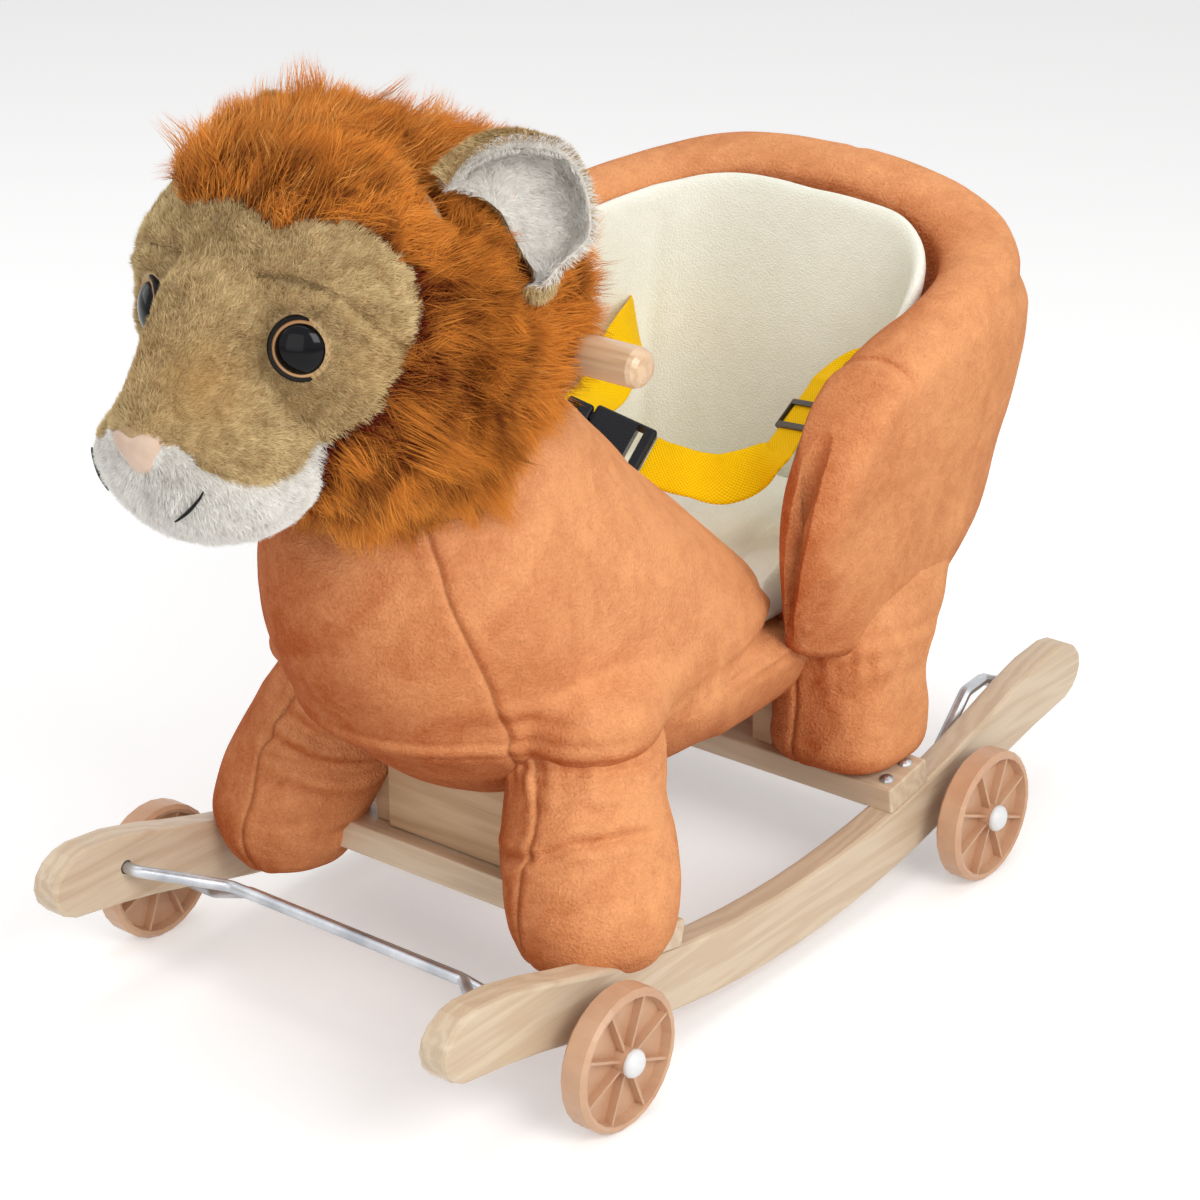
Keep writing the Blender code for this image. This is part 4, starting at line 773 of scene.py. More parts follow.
def grow(name: str, roots: np.ndarray, normals: np.ndarray, flow: np.ndarray, how: Growth,
         seed: int, lengths: np.ndarray | float = 1.0, bias: np.ndarray | float = 0.0,
         marks: dict | None = None) -> bpy.types.Mesh:
    """Ribbons of hair that leave the skin, bend over with the flow, and gather into locks.

    Args:
        name: the mesh's name.
        roots: where the strands stand, in millimetres.
        normals: the skin's normal at each root.
        flow: which way the hair is combed at each root.
        how: the hair's measures.
        seed: fixes the strands' differences.
        lengths: a factor on each strand's length.
        bias: a lightening or darkening of each strand.
        marks: further numbers to store with each strand.

    Returns:
        One mesh of all the strands, with along and tone stored at each point.
    """
    rng = np.random.default_rng(seed)
    count, steps = len(roots), how.segments + 1
    drift = np.stack([smooth_noise(roots, 34, seed + k) for k in range(3)], -1)
    flow = flow + how.wander * drift + 0.1 * rng.normal(size=(count, 3))
    flow = unit(flow - normals * np.sum(flow * normals, -1, keepdims=True))
    length = how.length * np.clip(1 + 0.17 * rng.normal(size=count), 0.5, 1.5) * lengths
    tone = 0.5 + 0.2 * rng.normal(size=count) + bias
    s = np.linspace(0, 1, steps)
    line = strand_lines(roots, normals, flow, length, how, s)
    if how.clumps:
        pick = rng.choice(count, how.clumps, replace=False)
        lead = unit(flow[pick] + 0.5 * rng.normal(size=(how.clumps, 3)))
        reach = length[pick] * rng.uniform(0.8, 1.3, how.clumps)
        guide = strand_lines(roots[pick], normals[pick], lead, reach, how, s)
        owner = nearest(roots + 1.5 * rng.normal(size=(count, 3)), roots[pick])
        draw = how.pull * rng.uniform(0.55, 1.0, count)[:, None, None] * s[None, :, None]**1.4
        line = line * (1 - draw) + guide[owner] * draw
        tone = tone + 0.16 * rng.normal(size=how.clumps)[owner]
    side = np.cross(flow, normals)[:, None]
    rise = s[None, :, None]
    wave = np.sin(rise * 3.2 + 6.28 * rng.random((count, 1, 1))) * rise
    line = line + length[:, None, None] * how.curl * wave * side
    tangent = unit(np.gradient(line, axis=1))
    roll = (rng.random((count, 1, 1)) - 0.5) * 1.8
    wide = unit(np.cross(tangent, normals[:, None]))
    wide = np.cos(roll) * wide + np.sin(roll) * np.cross(tangent, wide)
    half = how.width / 2 * (1 - 0.5 * s[None, :, None]) * rng.uniform(0.7, 1.3, (count, 1, 1))
    left, right = line - wide * half, line + wide * half
    body = np.stack([left[:, :-1], right[:, :-1]], 2).reshape(count, -1, 3)
    points = np.concatenate([body, line[:, -1:]], 1)
    per = points.shape[1]
    k = np.arange(how.segments - 1) * 2
    quad = np.stack([k, k + 1, k + 3, k + 2], -1)
    start = (np.arange(count) * per)[:, None, None]
    quads = (quad[None] + start).reshape(-1, 4)
    tip = (np.array([per - 3, per - 2, per - 1])[None] + start[:, 0]).reshape(-1, 3)
    mesh = mesh_from(name, points, quads, tip)
    along = np.append(np.repeat(s[:-1], 2), 1.0)
    add_value(mesh, "along", np.broadcast_to(along, (count, per)))
    add_value(mesh, "tone", np.repeat(np.clip(tone, 0, 1), per))
    for key, values in (marks or {}).items():
        add_value(mesh, key, np.repeat(values, per))
    return mesh


def scatter(points: np.ndarray, count: int, seed: int,
            keep: np.ndarray | None = None) -> tuple[np.ndarray, np.ndarray, tuple]:
    """Places spread evenly over the area of closed rings.

    Args:
        points: the grid, of shape (rows, columns, 3).
        count: how many places.
        seed: fixes them.
        keep: a factor for each point of the grid on how many it gets.

    Returns:
        The places, the normals there, and the (row, column) numbers of the grid point beside each.
    """
    rng = np.random.default_rng(seed)
    nxt = np.roll(points, -1, 1)
    weight = np.ones(points.shape[:2]) if keep is None else keep
    a, b, c, d = points[:-1], nxt[:-1], nxt[1:], points[1:]
    area = np.linalg.norm(np.cross(c - a, d - b), axis=-1) / 2 * weight[:-1]
    face = rng.choice(area.size, count, p=(area / area.sum()).ravel())
    i, j = np.unravel_index(face, area.shape)
    u, v = rng.random((2, count, 1))
    place = ((1 - u) * ((1 - v) * a[i, j] + v * b[i, j]) + u * ((1 - v) * d[i, j] + v * c[i, j]))
    normal = np.cross(b[i, j] - a[i, j], d[i, j] - a[i, j])
    centre = points.reshape(-1, 3).mean(0)
    return place, unit(normal * np.sign(np.sum(normal * (place - centre)))), (i, j)


# Stuffed body

@dataclass(frozen=True)
class Leg:
    """One stuffed leg: its stations (z, x, y, half-width, half-length), seam and folds.

    The seam is given as (z, angle in degrees), and each fold as (depth, width, its line of
    (angle, z) points), on the leg as it would stand on the lion's left.
    """

    stations: tuple
    seam: tuple
    folds: tuple
    power: float = 2.0
    gather: float = 172.0


@dataclass
class StuffedBody:
    """The barrel torso and four legs, sewn from orange plush."""

    rows: int = 150
    columns: int = 110  # from one seam to the next, as leg_columns
    leg_columns: int = 76
    seam_width: float = 2.0
    seam_depth: float = 1.1
    shoulder: tuple = (90, -118, 194)
    shoulder_size: tuple = (46, 48, 27)

    Z = (106, 114, 128, 150, 167, 172, 178, 200, 230, 262, 300, 340, 364, 378)
    FRONT = (-58, -94, -136, -172, -192, -198, -207, -221, -236, -242, -237, -217, -196, -172)
    REAR = (96, 160, 190, 203, 203, 196, 116, 92, 62, 30, -10, -50, -78, -108)
    HALF = (36, 60, 84, 102, 109, 110, 110, 111, 109, 106, 99, 86, 69, 42)
    LEGS = {
        "front_left": Leg(((60, 119, -149, 23, 26), (66, 118, -149, 35, 37), (76, 117, -148, 43, 45),
                           (90, 114, -145, 48, 49), (112, 107, -138, 50, 50), (128, 101, -132, 48, 49),
                           (146, 96, -128, 45, 46), (178, 84, -113, 44, 45), (200, 76, -104, 38, 40)),
                          ((60, -112), (94, -107), (116, -101), (133, -92), (200, -92)),
                          ((3.0, 2.6, ((-140, 118), (-118, 123), (-93, 130))),
                           (2.8, 2.6, ((-91, 130), (-59, 141), (-24, 143), (0, 139))),
                           (2.4, 2.4, ((-104, 172), (-51, 175), (8, 172))),
                           (2.0, 2.6, ((-90, 166), (-46, 169), (-12, 166))),
                           (0.9, 3.0, ((-84, 152), (-50, 157), (-30, 153))),
                           (0.8, 5.0, ((-70, 106), (-30, 114), (-5, 112))))),
        "front_right": Leg(((50, 108, -150, 18, 22), (57, 108, -150, 29, 34), (68, 110, -149, 39, 43),
                            (84, 111, -147, 46, 49), (112, 104, -139, 52, 51), (140, 96, -130, 50, 48),
                            (178, 84, -113, 44, 45), (200, 76, -104, 38, 40)),
                           ((50, -97), (76, -96), (106, -94), (128, -87), (200, -86)),
                           ((3.0, 3.0, ((-87, 158), (-112, 151), (-134, 144))),
                            (4.6, 3.4, ((-85, 143), (-114, 138), (-147, 131), (-179, 127))),
                            (3.8, 2.8, ((-92, 134), (-121, 131), (-150, 124), (-177, 121))),
                            (1.2, 3.0, ((164, 74), (190, 84))),
                            (0.9, 5.0, ((-140, 96), (-110, 92))))),
        "rear": Leg(((80, 103, 124, 36, 36), (88, 103, 124, 42, 42), (110, 103, 124, 43, 45),
                     (140, 101, 124, 43, 45), (165, 101, 129, 43, 51), (185, 98, 136, 44, 60),
                     (205, 96, 139, 43, 66), (222, 92, 139, 38, 60)),
                    ((80, -99), (99, -98), (127, -95), (146, -95), (222, -94)),
                    ((0.8, 3.6, ((-78, 154), (-50, 160), (-30, 162), (4, 158))),
                     (0.8, 4.0, ((-75, 168), (-39, 175), (0, 171), (30, 166))),
                     (0.5, 5.0, ((-60, 140), (-20, 146), (15, 143)))), 2.8, 160),
    }

    @staticmethod
    def seamed_angles(seams: np.ndarray, per_span: int) -> np.ndarray:
        """Angles of the columns, packed closer beside each seam.

        Args:
            seams: rising seam angles for each row, of shape (rows, seams).
            per_span: columns from one seam to the next.

        Returns:
            Angles of shape (rows, seams * per_span); every per_span-th column is a seam.
        """
        s = np.arange(per_span) / per_span
        t = s - 0.13 * np.sin(2 * math.pi * s)
        nxt = np.concatenate([seams[:, 1:], seams[:, :1] + 2 * math.pi], 1)
        return (seams[:, :, None] + (nxt - seams)[:, :, None] * t).reshape(len(seams), -1)

    @staticmethod
    def seam_distance(points: np.ndarray, per_span: int) -> np.ndarray:
        """Distance along each row to its nearest seam, in millimetres."""
        step = np.linalg.norm(np.roll(points, -1, 1) - points, axis=-1)
        step = step.reshape(len(points), -1, per_span)
        run = np.cumsum(step, -1) - step
        return np.minimum(run, step.sum(-1, keepdims=True) - run).reshape(points.shape[:2])

    @staticmethod
    def folded(angle: np.ndarray, z: np.ndarray, folds: tuple, radius: float = 48.0) -> np.ndarray:
        """Relief of the folds: a pressed line with a soft swell on either side.

        Args:
            angle: angles round the leg, in radians.
            z: heights.
            folds: (depth, width, its line of (angle in degrees, z) points).
            radius: turns an angle into a length round the leg.

        Returns:
            Relief in millimetres, less than 0 in a fold.
        """
        relief = np.zeros(angle.shape)
        for depth, width, line in folds:
            line = np.array(line, float)
            middle = np.radians((line[0, 0] + line[-1, 0]) / 2)
            turned_angle = np.mod(angle - middle + math.pi, 2 * math.pi) - math.pi + middle
            u, gap, fade = turned_angle * radius, np.full(angle.shape, 1e3), np.zeros(angle.shape)
            for k, (a, b) in enumerate(zip(line, line[1:])):
                a, b = (np.array([np.radians(p[0]) * radius, p[1]]) for p in (a, b))
                run = np.clip(((u - a[0]) * (b - a)[0] + (z - a[1]) * (b - a)[1]) / ((b - a) @ (b - a)), 0, 1)
                away = np.hypot(u - a[0] - run * (b - a)[0], z - a[1] - run * (b - a)[1])
                place = (k + run) / (len(line) - 1)
                full = np.sqrt(np.clip(np.sin(math.pi * (0.08 + 0.84 * place)), 0, 1))
                fade = np.where(away < gap, full, fade)
                gap = np.minimum(gap, away)
            relief += fade * depth * (0.55 * bump(gap - 2.4 * width, 1.5 * width) - bump(gap, width))
        return relief

    def with_shoulders(self, points: np.ndarray, middle: np.ndarray) -> np.ndarray:
        """Swells the torso over the top of each front leg, so that it hangs over the leg in a fold.

        Args:
            points: rings of the torso.
            middle: y of each ring's centre.

        Returns:
            The swollen rings.
        """
        centre = np.stack([np.zeros_like(middle), middle, 0 * middle], -1)[:, None]
        away = (points - centre)[..., :2]
        radius = np.linalg.norm(away, axis=-1)
        ray = away / radius[..., None]
        high = np.abs(points[..., 2] - self.shoulder[2]) / self.shoulder_size[2]
        size = np.clip(1 - high**2.4, 0, 1)**(1 / 2.4) * self.shoulder_size[0]
        swollen = radius
        for sign in (1, -1):
            to = np.array([sign * self.shoulder[0], self.shoulder[1]]) - centre[..., :2]
            near = np.sum(to * ray, -1)
            miss = np.sum(to**2, -1) - near**2
            reach = near + np.sqrt(np.clip(size**2 - miss, 0, None))
            swollen = np.where((size**2 > miss) & (near > 0), np.maximum(swollen, reach), swollen)
        for _ in range(5):
            swollen = (np.roll(swollen, 1, 1) + 2 * swollen + np.roll(swollen, -1, 1)) / 4
            padded = np.pad(swollen, ((1, 1), (0, 0)), mode="edge")
            swollen = (padded[:-2] + 2 * swollen + padded[2:]) / 4
        return points + np.concatenate([ray * (swollen - radius)[..., None], 0 * ray[..., :1]], -1)

    def torso_points(self) -> tuple[np.ndarray, np.ndarray]:
        """Rings of the torso, round at the chest and squarer at the hips, and its seams as 1 on a line."""
        z = np.linspace(106, 378, self.rows)
        z = z - 3.5 * np.sin((z - 106) / 272 * 2 * math.pi)
        front, half = spline(z, self.Z, self.FRONT), spline(z, self.Z, self.HALF)
        low = spline(z, self.Z[:5], self.REAR[:5])
        shelf = 1 / (1 + np.exp(-(z - 172) / 1.6))
        rear = low * (1 - shelf) + (116 - 0.86 * (z - 178)) * shelf
        rear = np.minimum(rear, np.where(z > 178, spline(z, self.Z, self.REAR), 1e3))
        seam = np.radians(spline(z, (106, 160, 194, 209, 230, 263, 286, 304, 317, 378),
                                 (-56, -51, -44, -44, -43, -45, -48, -50, -53, -62)))
        angle = self.seamed_angles(np.stack([-math.pi - seam, seam], 1), self.columns)
        hips = np.where(np.sin(angle) > 0, np.interp(z, [215, 300], [3.2, 2.05])[:, None], 2.05)
        cx, sy = superellipse(angle, hips)
        middle = np.minimum(front + 150, (front + rear) / 2)
        reach = np.where(sy > 0, (rear - middle)[:, None], (middle - front)[:, None])
        points = np.stack([half[:, None] * cx, middle[:, None] + reach * sy,
                           np.broadcast_to(z[:, None], angle.shape)], -1)
        points = self.with_shoulders(points, middle)
        normal = grid_normals(points)
        away = self.seam_distance(points, self.columns)
        lumps = 1.3 * smooth_noise(points, 70, 3) + 0.6 * smooth_noise(points, 26, 4)
        pucker = 0.5 * smooth_noise(points, 7, 5) * bump(away, 10)
        on_front = bump(np.degrees(angle) + 36, 13) * (angle < 0)
        arc = 1.6 * (bump(z - 213, 5) - 0.9 * bump(z - 204, 3.5))[:, None] * on_front
        return (points + normal * (lumps + pucker + arc - self.seam_depth * bump(away, self.seam_width)
                                   + 0.7 * bump(away - 6, 5))[..., None], bump(away, 0.9))

    def leg_points(self, leg: Leg) -> tuple[np.ndarray, np.ndarray]:
        """Rings of a leg, with its folds, gathers and seams, and its seams as 1 on a line."""
        z0, x0, y0, hx, hy = np.array(leg.stations, float).T
        s = np.linspace(0, 1, 130)
        z = z0[0] + (z0[-1] - z0[0]) * (s - 0.05 * np.sin(2 * math.pi * s))
        seam = np.radians(spline(z, *zip(*leg.seam)))
        angle = self.seamed_angles(np.stack([seam, seam + math.pi * 1.05], 1), self.leg_columns)
        cx, sy = superellipse(angle, leg.power)
        centre_x, centre_y = spline(z, z0, x0)[:, None], spline(z, z0, y0)[:, None]
        foot = np.sqrt(np.clip(1 - (1 - np.clip((z - z0[0]) / 6, 0, 1))**2 * 0.4, 0, 1))[:, None]
        points = np.stack([centre_x + spline(z, z0, hx)[:, None] * cx * foot,
                           centre_y + spline(z, z0, hy)[:, None] * sy * foot,
                           np.broadcast_to(z[:, None], angle.shape)], -1)
        normal = grid_normals(points)
        away = self.seam_distance(points, self.leg_columns)
        pleats = np.sin(angle * 13 + 2.5 * smooth_noise(points, 22, 8)) + 0.6 * np.sin(angle * 23 + 1.0)
        rise = bump(z - leg.gather, 16)[:, None]
        relief = (1.1 * smooth_noise(points, 34, 6) + 0.6 * smooth_noise(points, 15, 7) + 0.8 * rise * pleats
                  + self.folded(angle, points[..., 2], leg.folds)
                  - 0.9 * self.seam_depth * bump(away, self.seam_width) + 0.6 * bump(away - 5, 4))
        return points + normal * relief[..., None], bump(away, 0.9)

    def build(self) -> None:
        """Makes the torso and the legs."""
        torso, seam = self.torso_points()
        mesh = skin("torso_cover", torso)
        mark_pile(mesh, seam)
        show("torso_cover", mesh, PLUSH, replaces=("torso",))
        for name in ("front_left", "front_right", "rear_left", "rear_right"):
            points, seam = self.leg_points(self.LEGS.get(name, self.LEGS["rear"]))
            mesh = skin(f"leg_{name}", points * (1 if name.endswith("left") else -1, 1, 1))
            mark_pile(mesh, seam)
            show(f"leg_{name}_cover", mesh, PLUSH, replaces=(f"leg_{name}",))


# Head

@dataclass
class LionHead:
    """Face, muzzle, eyes, nose, mane and ears."""

    skull: tuple = (0, -238, 438)
    skull_size: tuple = (87, 68, 92)
    muzzle: tuple = (0, -311, 391)
    muzzle_size: tuple = (61, 51, 49)
    heart: tuple = (0, -268, 422)
    eye_at: tuple = (51, -296, 448)
    mane_centre: tuple = (0, -176, 424)
    mane_size: tuple = (121, 113, 121)
    face_strands: int = 46000
    ear_strands: int = 26000
    hood_strands: int = 24000
    fringe_strands: int = 6000
    # Locks in each layer of the mane, finer ones below
    LOCKS = (1100, 1100, 800, 800, 500, 500)

    # Stuffing beyond the two balls, on each side: chin corner, cheekbone, brow
    PADS = (((26, -300, 378), (20, 24, 22), 9), ((50, -276, 442), (24, 20, 24), 12),
            ((50, -262, 470), (30, 28, 22), 12))
    BROW = ((27, -301, 481), (34, -299, 481), (45, -296, 481), (55, -293, 480), (64, -290, 477),
            (72, -285, 472), (79, -279, 464), (82, -269, 453), (85, -260, 445))
    LID = ((48, -298, 471), (58, -294, 472), (66, -290, 471), (74, -285, 465), (80, -276, 455),
           (83, -266, 446))
    CHEEK = ((25, -320, 443), (25, -325, 434), (26, -334, 426), (27, -344, 416), (28, -350, 410))
    LIP = ((21, -357, 408), (27, -354, 403), (33, -353, 397), (40, -349, 394), (47, -345, 391),
           (53, -339, 388), (57, -331, 388), (60, -322, 389), (60, -312, 391), (57, -301, 394),
           (57, -292, 399))
    HAIRLINE = ((0, -287, 510), (12, -289, 508), (21, -290, 505), (30, -290, 502), (35, -288, 504),
                (40, -283, 507), (49, -278, 507), (57, -270, 507), (64, -264, 504), (71, -259, 498),
                (76, -256, 491), (81, -252, 485), (85, -251, 473), (86, -250, 460), (86, -254, 450),
                (84, -261, 442), (84, -263, 434), (81, -270, 426), (79, -272, 417), (75, -277, 412),
                (69, -284, 408), (61, -289, 402), (57, -291, 397), (58, -294, 388), (58, -294, 380),
                (53, -290, 371), (42, -286, 360), (25, -284, 350), (0, -283, 345))
    HAIRLINE_LEVEL = 430  # height round which the hairline runs
    MOUTH = ((36.4, -353, 387), (33, -354, 382), (28, -355, 376), (23, -355.5, 371.5), (17, -355, 367))
    EAR = (((76, -213, 515), (84, -221, 519), 1, 3), ((78, -209, 514), (87, -216, 525), 3, 7),
           ((81, -202, 511), (93, -205, 532), 7, 9), ((85, -197, 508), (100, -195, 535), 11, 8),
           ((88, -194, 505), (108, -182, 534), 14, 7), ((90, -192, 502), (116, -170, 529), 16, 4),
           ((92, -191, 500), (122, -163, 517), 17, 2), ((94, -190, 496), (125, -160, 498), 17, 2),
           ((96, -188, 490), (125, -163, 485), 13, 2), ((99, -185, 482), (119, -174, 475), 8, 2),
           ((103, -180, 471), (115, -182, 467), 4, 2), ((106, -177, 464), (112, -184, 464), 1, 2))
    EAR_OPENS = (0.83, -0.55, 0.07)
    EAR_PIVOT = (-92, -191, 500)
    # Where the mane stands fuller or lies flatter: direction, share of its size, and breadth
    SWELLS = (((0.66, -0.10, 0.74), 0.10, 0.50), ((0, 0.44, 0.90), -0.08, 0.50),
              ((0.80, 0.38, -0.45), -0.13, 0.55), ((0.25, -0.35, -0.90), 0.04, 0.40))

    @staticmethod
    def ball(points: np.ndarray, centre: tuple, size: tuple, power: float = 2.0) -> np.ndarray:
        """Roughly the distance outside a superellipsoid, in millimetres."""
        d = np.abs((points - np.array(centre, float)) / np.array(size, float))
        return ((d**power).sum(-1)**(1 / power) - 1) * min(size)

    @staticmethod
    def joined(a: np.ndarray, b: np.ndarray, blend: float) -> np.ndarray:
        """Two distances joined with a soft fillet of the blend's width."""
        h = np.clip(0.5 + 0.5 * (b - a) / blend, 0, 1)
        return b * (1 - h) + a * h - blend * h * (1 - h)

    @staticmethod
    def evened(points: np.ndarray) -> np.ndarray:
        """The same points, with those on the far side brought to the near side."""
        return np.concatenate([np.abs(points[..., :1]), points[..., 1:]], -1)

    def field(self, points: np.ndarray) -> np.ndarray:
        """Distance outside the stuffed face: skull, tapered muzzle, bridge of the nose, and pads."""
        d = self.ball(points, self.skull, self.skull_size, 2.5)
        taper = 1 + 0.6 * np.clip((points[..., 2:] - 386) / 40, 0, 1)**1.5
        slim = np.concatenate([points[..., :1] * taper, points[..., 1:]], -1)
        d = self.joined(d, self.ball(slim, self.muzzle, self.muzzle_size, 2.15), 9)
        bridge = points - np.array([0, -328, 432.0])
        along = np.array([0, -0.62, -0.78])
        t = np.clip(bridge @ along, -34, 26)
        d = self.joined(d, np.linalg.norm(bridge - t[..., None] * along, axis=-1) - (24 - 0.08 * t), 13)
        even = self.evened(points)
        for centre, size, blend in self.PADS:
            d = self.joined(d, self.ball(even, centre, size), blend)
        return d

    def face_points(self, rows: int = 230, columns: int = 340) -> np.ndarray:
        """Where each ray from the head's heart leaves the field, found by halving the gap."""
        way = ball_directions(rows, columns)[..., (1, 2, 0)] * (1, -1, 1)
        low, high = np.zeros(way.shape[:2]), np.full(way.shape[:2], 190.0)
        for _ in range(22):
            middle = (low + high) / 2
            inside = self.field(np.array(self.heart) + way * middle[..., None]) < 0
            low, high = np.where(inside, middle, low), np.where(inside, high, middle)
        return np.array(self.heart) + way * low[..., None]

    def near_curve(self, points: np.ndarray, knots: tuple) -> np.ndarray:
        """Distance from each point to a smooth curve through the knots, on either side."""
        even = self.evened(points)
        best = np.full(even.shape[:-1], 1e9)
        for mark in curve(np.linspace(0, 1, 70), knots):
            best = np.minimum(best, np.sum((even - mark)**2, -1))
        return np.sqrt(best)

    def white_share(self, points: np.ndarray) -> np.ndarray:
        """1 below the lip seam and 0 above it, by the angle round the muzzle."""
        lip = np.array(self.LIP, float)
        turn = np.arctan2(np.abs(points[..., 0]), -(points[..., 1] + 300))
        seam = np.interp(turn, np.arctan2(lip[:, 0], -(lip[:, 1] + 300)), lip[:, 2])
        return 1 / (1 + np.exp((points[..., 2] - seam) / 0.7))

    def behind_hairline(self, points: np.ndarray) -> np.ndarray:
        """How far behind the hairline a place on the face lies; in front of it is negative."""
        line = np.array(self.HAIRLINE, float)
        up, line_up = points[..., 2] - self.HAIRLINE_LEVEL, line[:, 2] - self.HAIRLINE_LEVEL
        turn, knots = np.arctan2(np.abs(points[..., 0]), up), np.arctan2(line[:, 0], line_up)
        return (np.hypot(points[..., 0], up) - np.interp(turn, knots, np.hypot(line[:, 0], line_up))
                + points[..., 1] - np.interp(turn, knots, line[:, 1]))

    def build_face(self) -> tuple[np.ndarray, np.ndarray]:
        """The stuffed face with its brow, cheek and lip seams, and its short fur.

        Returns:
            The face's points and normals.
        """
        points = self.face_points()
        normal = grid_normals(points)
        even = self.evened(points)
        brow, cheek, lip = (self.near_curve(points, c) for c in (self.BROW, self.CHEEK, self.LIP))
        relief = 0.8 * smooth_noise(points, 24, 12) + 0.4 * smooth_noise(points, 9, 13)
        relief += 1.5 * bump(self.near_curve(points, self.LID), 5.5)
        relief = relief - 3.2 * bump(brow, 2.2) - 2.3 * bump(cheek, 3.0)
        relief += 0.8 * bump(lip, 7) - 1.7 * bump(lip, 2.6)
        relief -= 3.0 * bump(np.linalg.norm(even - self.eye_at, axis=-1), 21)
        relief -= 4.2 * bump(np.linalg.norm((even - (25, -316, 446)) * (1, 1, 0.6), axis=-1), 5)
        relief -= 2.4 * bump(np.linalg.norm(points - (3, -361, 378), axis=-1), 5)
        philtrum = np.linalg.norm((points - (2, -361, 378)) * (1, 1, 0.25), axis=-1)
        relief -= 1.6 * bump(philtrum, 3.6)
        points = points + normal * relief[..., None]
        mesh = skin("face_cover", points)
        stain = 0.6 * bump(np.linalg.norm(even - (22, -336, 432), axis=-1), 22)
        stain = stain + 0.4 * bump(np.linalg.norm(even - (72, -268, 440), axis=-1), 22)
        white = self.white_share(points)
        add_value(mesh, "white", np.append(white.ravel(), (0, 0)))
        add_value(mesh, "stain", np.append(stain.ravel(), (0, 0)))
        show("face_cover", mesh, FACE, replaces=("head", "muzzle"))
        bare = np.linalg.norm(even - (50, -297, 449), axis=-1) < 18
        bare |= np.linalg.norm((points - (1, -362, 403)) * (1, 0.5, 1.6), axis=-1) < 17
        keep = (self.behind_hairline(points) < 3) & ~bare
        for layer in range(2):
            roots, out, (i, j) = scatter(points, self.face_strands, 20 + layer, keep.astype(float))
            flow = unit(roots - (0, -366, 407))
            flow[:, 2] -= 0.25 * white[i, j]
            how = Growth(length=5.6, lift=0.38, droop=0.05, width=0.34, segments=2, curl=0.12, wander=0.5,
                         clumps=2600, pull=0.45)
            fur = grow(f"face_fur_{layer + 1}", roots, out, flow, how, 300 + layer,
                       bias=0.15 * smooth_noise(roots, 11, 15),
                       marks={"white": white[i, j], "stain": stain[i, j]})
            show(f"face_fur_{layer + 1}", fur, FACE_FUR)
        return points, normal

    def eye(self, sign: int) -> None:
        """A safety eye: black rim, gold iris ring, and a high glossy ball."""
        side = "left" if sign > 0 else "right"
        at = np.array(self.eye_at, float) * (sign, 1, 1)
        turn = np.array(Vector((0, 0, 1)).rotation_difference(Vector((0.56 * sign, -0.82, 0.09))).to_matrix())
        rim = [(-7, 14.5), (0.2, 17.4), (2.2, 17.3), (3.1, 16.4), (2.9, 14.9), (1.0, 13)]
        iris = [(0.5, 14.8), (2.7, 14.8), (3.3, 14.2), (3.2, 13.2), (2.0, 12.4)]
        dome = np.linspace(0, 1.54, 16)
        ball = [(0.5, 13.1), *zip(2.6 + 6.2 * np.sin(dome), 13.1 * np.cos(dome))]
        for name, profile, finish, replaces in (("eye_rim", rim, EYE_RIM, ()), ("eye_iris", iris, IRIS, ()),
                                                ("eye_ball", ball, EYE_BALL, (f"eye_{side}",))):
            mesh = skin(name, lathe(profile, 72) @ turn.T + at)
            show(f"{name}_{side}", mesh, finish, replaces=replaces, sharp=50)

    def nose(self) -> None:
        """A satin nose: a wide soft triangle, point down, crowned and drawn in at its edge."""
        rows, columns = 22, 96
        r = np.linspace(0.04, 1, rows)[:, None]
        angle = np.arange(columns) * 2 * math.pi / columns
        outline = 1 + 0.17 * np.cos(3 * (angle + math.pi / 2)) - 0.05 * np.cos(2 * angle)
        x = r * outline * np.cos(angle) * 18.0
        z = r * outline * np.sin(angle) * 11.2
        z = z - 1.8 * np.exp(-(x / 5)**2) * r**2 * (z > 0)
        dome = 5.2 * np.sqrt(np.clip(1 - r**2.8, 0, 1))
        dome = dome + 0.35 * smooth_noise(np.stack([x, z, x * 0], -1), 5, 3)
        wrap = 0.0125 * x**2
        front = np.stack([x, wrap - dome, z], -1)
        back = np.stack([x[::-1] * 0.96, (wrap + 6.0)[::-1], z[::-1] * 0.96], -1)
        turn = np.array(Matrix.Rotation(math.radians(-8), 3, "Y") @ Matrix.Rotation(math.radians(14), 3, "X"))
        points = np.concatenate([front, back]) @ turn.T + (1.0, -363.0, 402.5)
        show("nose_cover", skin("nose_cover", points), NOSE, replaces=("nose",))

    def mouth(self, face: np.ndarray, normal: np.ndarray) -> None:
        """Two thread strokes sewn on the lower muzzle."""
        line = curve(np.linspace(0, 1, 24), self.MOUTH)
        flat, out = face.reshape(-1, 3), normal.reshape(-1, 3)
        thick = 0.95 * np.sqrt(np.clip(np.sin(np.linspace(0.12, math.pi - 0.12, 24)), 0, 1))
        for side, sign, shift in (("left", 1, (0, 0, 0)), ("right", -1, (-19, 8, 0))):
            pick = nearest(line * (sign, 1, 1) + shift, flat)
            near = flat[pick] + out[pick] * 2.6
            near = np.stack([np.convolve(np.pad(column, 3, "edge"), np.ones(7) / 7, "valid")
                             for column in near.T], -1)
            show(f"mouth_stitch_{side}", tube("mouth", near, thick, 10), THREAD)

